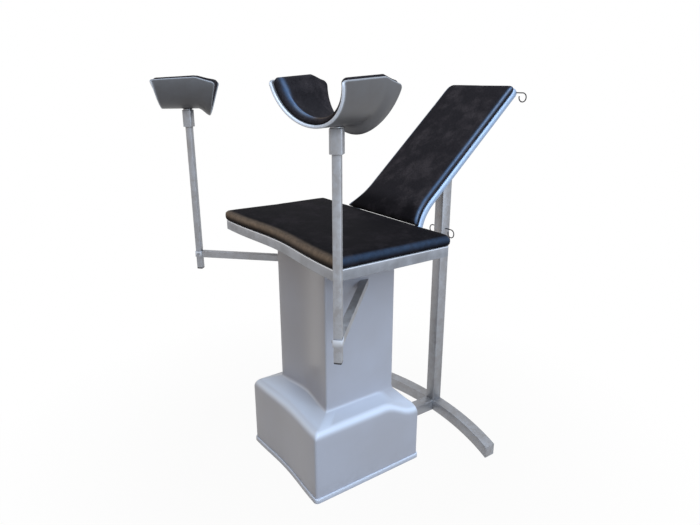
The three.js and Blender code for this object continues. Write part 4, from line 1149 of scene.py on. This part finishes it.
class CHAIR_OT_rear_stand(bpy.types.Operator):
    """Adds the connector bar, crescent foot, post and prop"""

    bl_idname = "chair.rear_stand"
    bl_label = "Rear stand"

    def execute(self, context):
        for node, body, slot, bevel in [
            ("connector_bar", "base", "galvanised", 0.0006),
            ("crescent_foot", "base", "galvanised", 0.0018),
            ("foot_cap_right", "base", "galvanised", 0.0008),
            ("foot_cap_left", "base", "galvanised", 0.0008),
            ("rear_post", "base", "galvanised", 0.0006),
            ("post_bush", "base", "nylon", 0.0005),
            ("lock_screw", "base", "steel", 0.0008),
            ("prop_tube", "prop", "galvanised", 0.0006),
            ("prop_glide", "prop", "nylon", 0.0008),
        ]:
            dressed(node, body, slot, bevel)
        return {"FINISHED"}


def hook_path(s, node, side):
    """Centre line of a hook: straight out from the steel that carries it and then round a loop below."""
    low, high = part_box(node)
    root = low.x if side > 0 else high.x
    sunk = 0.0003
    start = np.array([root - side * sunk, (low.y + high.y) / 2, high.z - s.wire_radius])
    turn = math.pi / 2 - np.linspace(0, s.hook_turn, 60)
    shank = np.linspace(0.0, s.hook_reach, 10)[:-1]
    x = np.concatenate([shank, s.hook_reach + s.hook_bend * np.cos(turn)])
    z = np.concatenate([np.zeros(shank.size), s.hook_bend * np.sin(turn) - s.hook_bend])
    return start + np.stack([side * x, np.zeros(len(x)), z], -1)


class CHAIR_OT_hardware(bpy.types.Operator):
    """Adds the bent wire hooks, hinge brackets and pins and the inner steelwork"""

    bl_idname = "chair.hardware"
    bl_label = "Hooks and hardware"

    def execute(self, context):
        s = context.scene.chair_sizes
        for base, body in (("post_hook", "base"), ("backrest_hook", "backrest")):
            for word, side in SIDES:
                path = hook_path(s, f"{base}_{word}", side)
                piece = new_object(sweep_mesh(f"{base}_wire_{word}", path, s.wire_radius, 12))
                finish_piece(piece, body, "wire", [f"{base}_{word}"], 50)
        for node, slot in [
            ("hinge_bracket_right", "steel"),
            ("hinge_bracket_left", "steel"),
            ("hinge_pin_right", "steel"),
            ("hinge_pin_left", "steel"),
            ("seat_cross_front", "steel"),
            ("seat_cross_rear", "steel"),
            ("seat_board", "wood"),
            ("base_plate", "steel"),
            ("inner_column", "steel"),
            ("head_plate", "steel"),
        ]:
            dressed(node, "base", slot, 0.0006)
        return {"FINISHED"}


# Stage

WHITE = (1, 1, 1, 1)
COOL, WARM = (0.70, 0.84, 1.0), (1.0, 0.74, 0.45)


def floor_material():
    """White floor that keeps the object's shadow near it and is plain white further off."""
    material = bpy.data.materials.new("Pale floor")
    nodes = Nodes(material)
    matt = nodes.add("ShaderNodeBsdfDiffuse", {}, {"Color": (0.30, 0.26, 0.22, 1)})
    glow = nodes.add("ShaderNodeEmission", {}, {"Color": WHITE})
    place = nodes.add("ShaderNodeTexCoord", {}, {}, "Object")
    away = nodes.add("ShaderNodeVectorMath", {"operation": "LENGTH"}, {0: place}, "Value")
    near, far, near_share, far_share = 0.5, 1.3, 0.96, 1.0
    whiter = nodes.add("ShaderNodeMapRange", {}, {0: away, 1: near, 2: far, 3: near_share, 4: far_share})
    share = nodes.seen_directly() * whiter
    nodes.close("ShaderNodeOutputMaterial", nodes.add("ShaderNodeMixShader", {}, {0: share, 1: matt, 2: glow}))
    return material


def add_floor():
    """A flat square far wider than the chair."""
    reach = 12.0
    corners = [(-reach, -reach, 0), (reach, -reach, 0), (reach, reach, 0), (-reach, reach, 0)]
    mesh = bpy.data.meshes.new("floor")
    mesh.from_pydata(corners, [], [(0, 1, 2, 3)])
    new_object(mesh)
    mesh.materials.append(floor_material())


def add_world(scene):
    """Warm dim light all round, behind which the camera sees plain white."""
    scene.world = bpy.data.worlds.new("Studio")
    nodes = Nodes(scene.world)
    light = nodes.add("ShaderNodeBackground", {}, {"Color": (1.0, 0.90, 0.78, 1), "Strength": 0.28})
    backdrop = nodes.add("ShaderNodeBackground", {}, {"Color": WHITE, "Strength": 1.0})
    mix = nodes.add("ShaderNodeMixShader", {}, {0: nodes.seen_directly(), 1: light, 2: backdrop})
    nodes.close("ShaderNodeOutputWorld", mix)


def add_lamps(scene):
    """Large soft square lamps, all aimed at one place under the seat's middle."""
    aim = Vector((0, 0, 0.75))
    for name, spot, power, size, colour in [
        ("key_lamp", (3.1, -0.5, 3.0), 134, 3.0, COOL),
        ("top_lamp", (0.6, 0.4, 4.6), 74, 2.2, COOL),
        ("side_lamp", (3.4, -0.3, 0.8), 20, 1.8, COOL),
        ("front_lamp", (-2.4, -2.6, 1.2), 10, 2.2, WARM),
    ]:
        lamp = bpy.data.lights.new(name, "AREA")
        lamp.energy = power
        lamp.size = size
        lamp.color = colour
        holder = bpy.data.objects.new(name, lamp)
        holder.location = spot
        holder.rotation_euler = (aim - Vector(spot)).to_track_quat("-Z", "Y").to_euler()
        scene.collection.objects.link(holder)


def add_camera(scene):
    """The camera as it was solved from the photo's straight edges: it looks along an azimuth and down."""
    focal_pixels, photo_pixels, sensor = 573.79, 700, 36
    azimuth, elevation = math.radians(54.9), math.radians(17.85)
    level = math.cos(elevation)
    back = Vector((math.sin(azimuth) * level, -math.cos(azimuth) * level, math.sin(elevation)))
    camera = bpy.data.cameras.new("camera")
    camera.sensor_width = sensor
    camera.lens = focal_pixels / photo_pixels * sensor
    viewer = bpy.data.objects.new("camera", camera)
    viewer.location = (1.470, -0.970, 1.263)
    viewer.rotation_euler = back.to_track_quat("Z", "Y").to_euler()
    scene.collection.objects.link(viewer)
    scene.camera = viewer


class CHAIR_OT_stage(bpy.types.Operator):
    """Adds the pale floor, the soft lamps and the camera"""

    bl_idname = "chair.stage"
    bl_label = "Stage"

    def execute(self, context):
        add_floor()
        add_world(context.scene)
        add_lamps(context.scene)
        add_camera(context.scene)
        context.scene.view_settings.view_transform = "Standard"
        return {"FINISHED"}


# Panel and start


class CHAIR_PT_panel(bpy.types.Panel):
    """Lists the chair's pieces, sizes and colours"""

    bl_label = "Gynecological chair"
    bl_space_type = "VIEW_3D"
    bl_region_type = "UI"
    bl_category = "Chair"

    def draw(self, context):
        for operator in OPERATORS:
            self.layout.operator(operator.bl_idname)
        for group in (context.scene.chair_sizes, context.scene.chair_colours):
            box = self.layout.box()
            for name in group.__annotations__:
                box.prop(group, name)


OPERATORS = (
    CHAIR_OT_stage,
    CHAIR_OT_pedestal,
    CHAIR_OT_seat,
    CHAIR_OT_leg_supports,
    CHAIR_OT_troughs,
    CHAIR_OT_backrest,
    CHAIR_OT_rear_stand,
    CHAIR_OT_hardware,
)
CLASSES = (ChairSizes, ChairColours, *OPERATORS, CHAIR_PT_panel)


def register():
    for item in CLASSES:
        bpy.utils.register_class(item)
    bpy.types.Scene.chair_sizes = PointerProperty(type=ChairSizes)
    bpy.types.Scene.chair_colours = PointerProperty(type=ChairColours)


def unregister():
    del bpy.types.Scene.chair_colours
    del bpy.types.Scene.chair_sizes
    for item in reversed(CLASSES):
        bpy.utils.unregister_class(item)


def main():
    register()
    for operator in OPERATORS:
        group, name = operator.bl_idname.split(".")
        getattr(getattr(bpy.ops, group), name)()


if __name__ == "__main__":
    main()
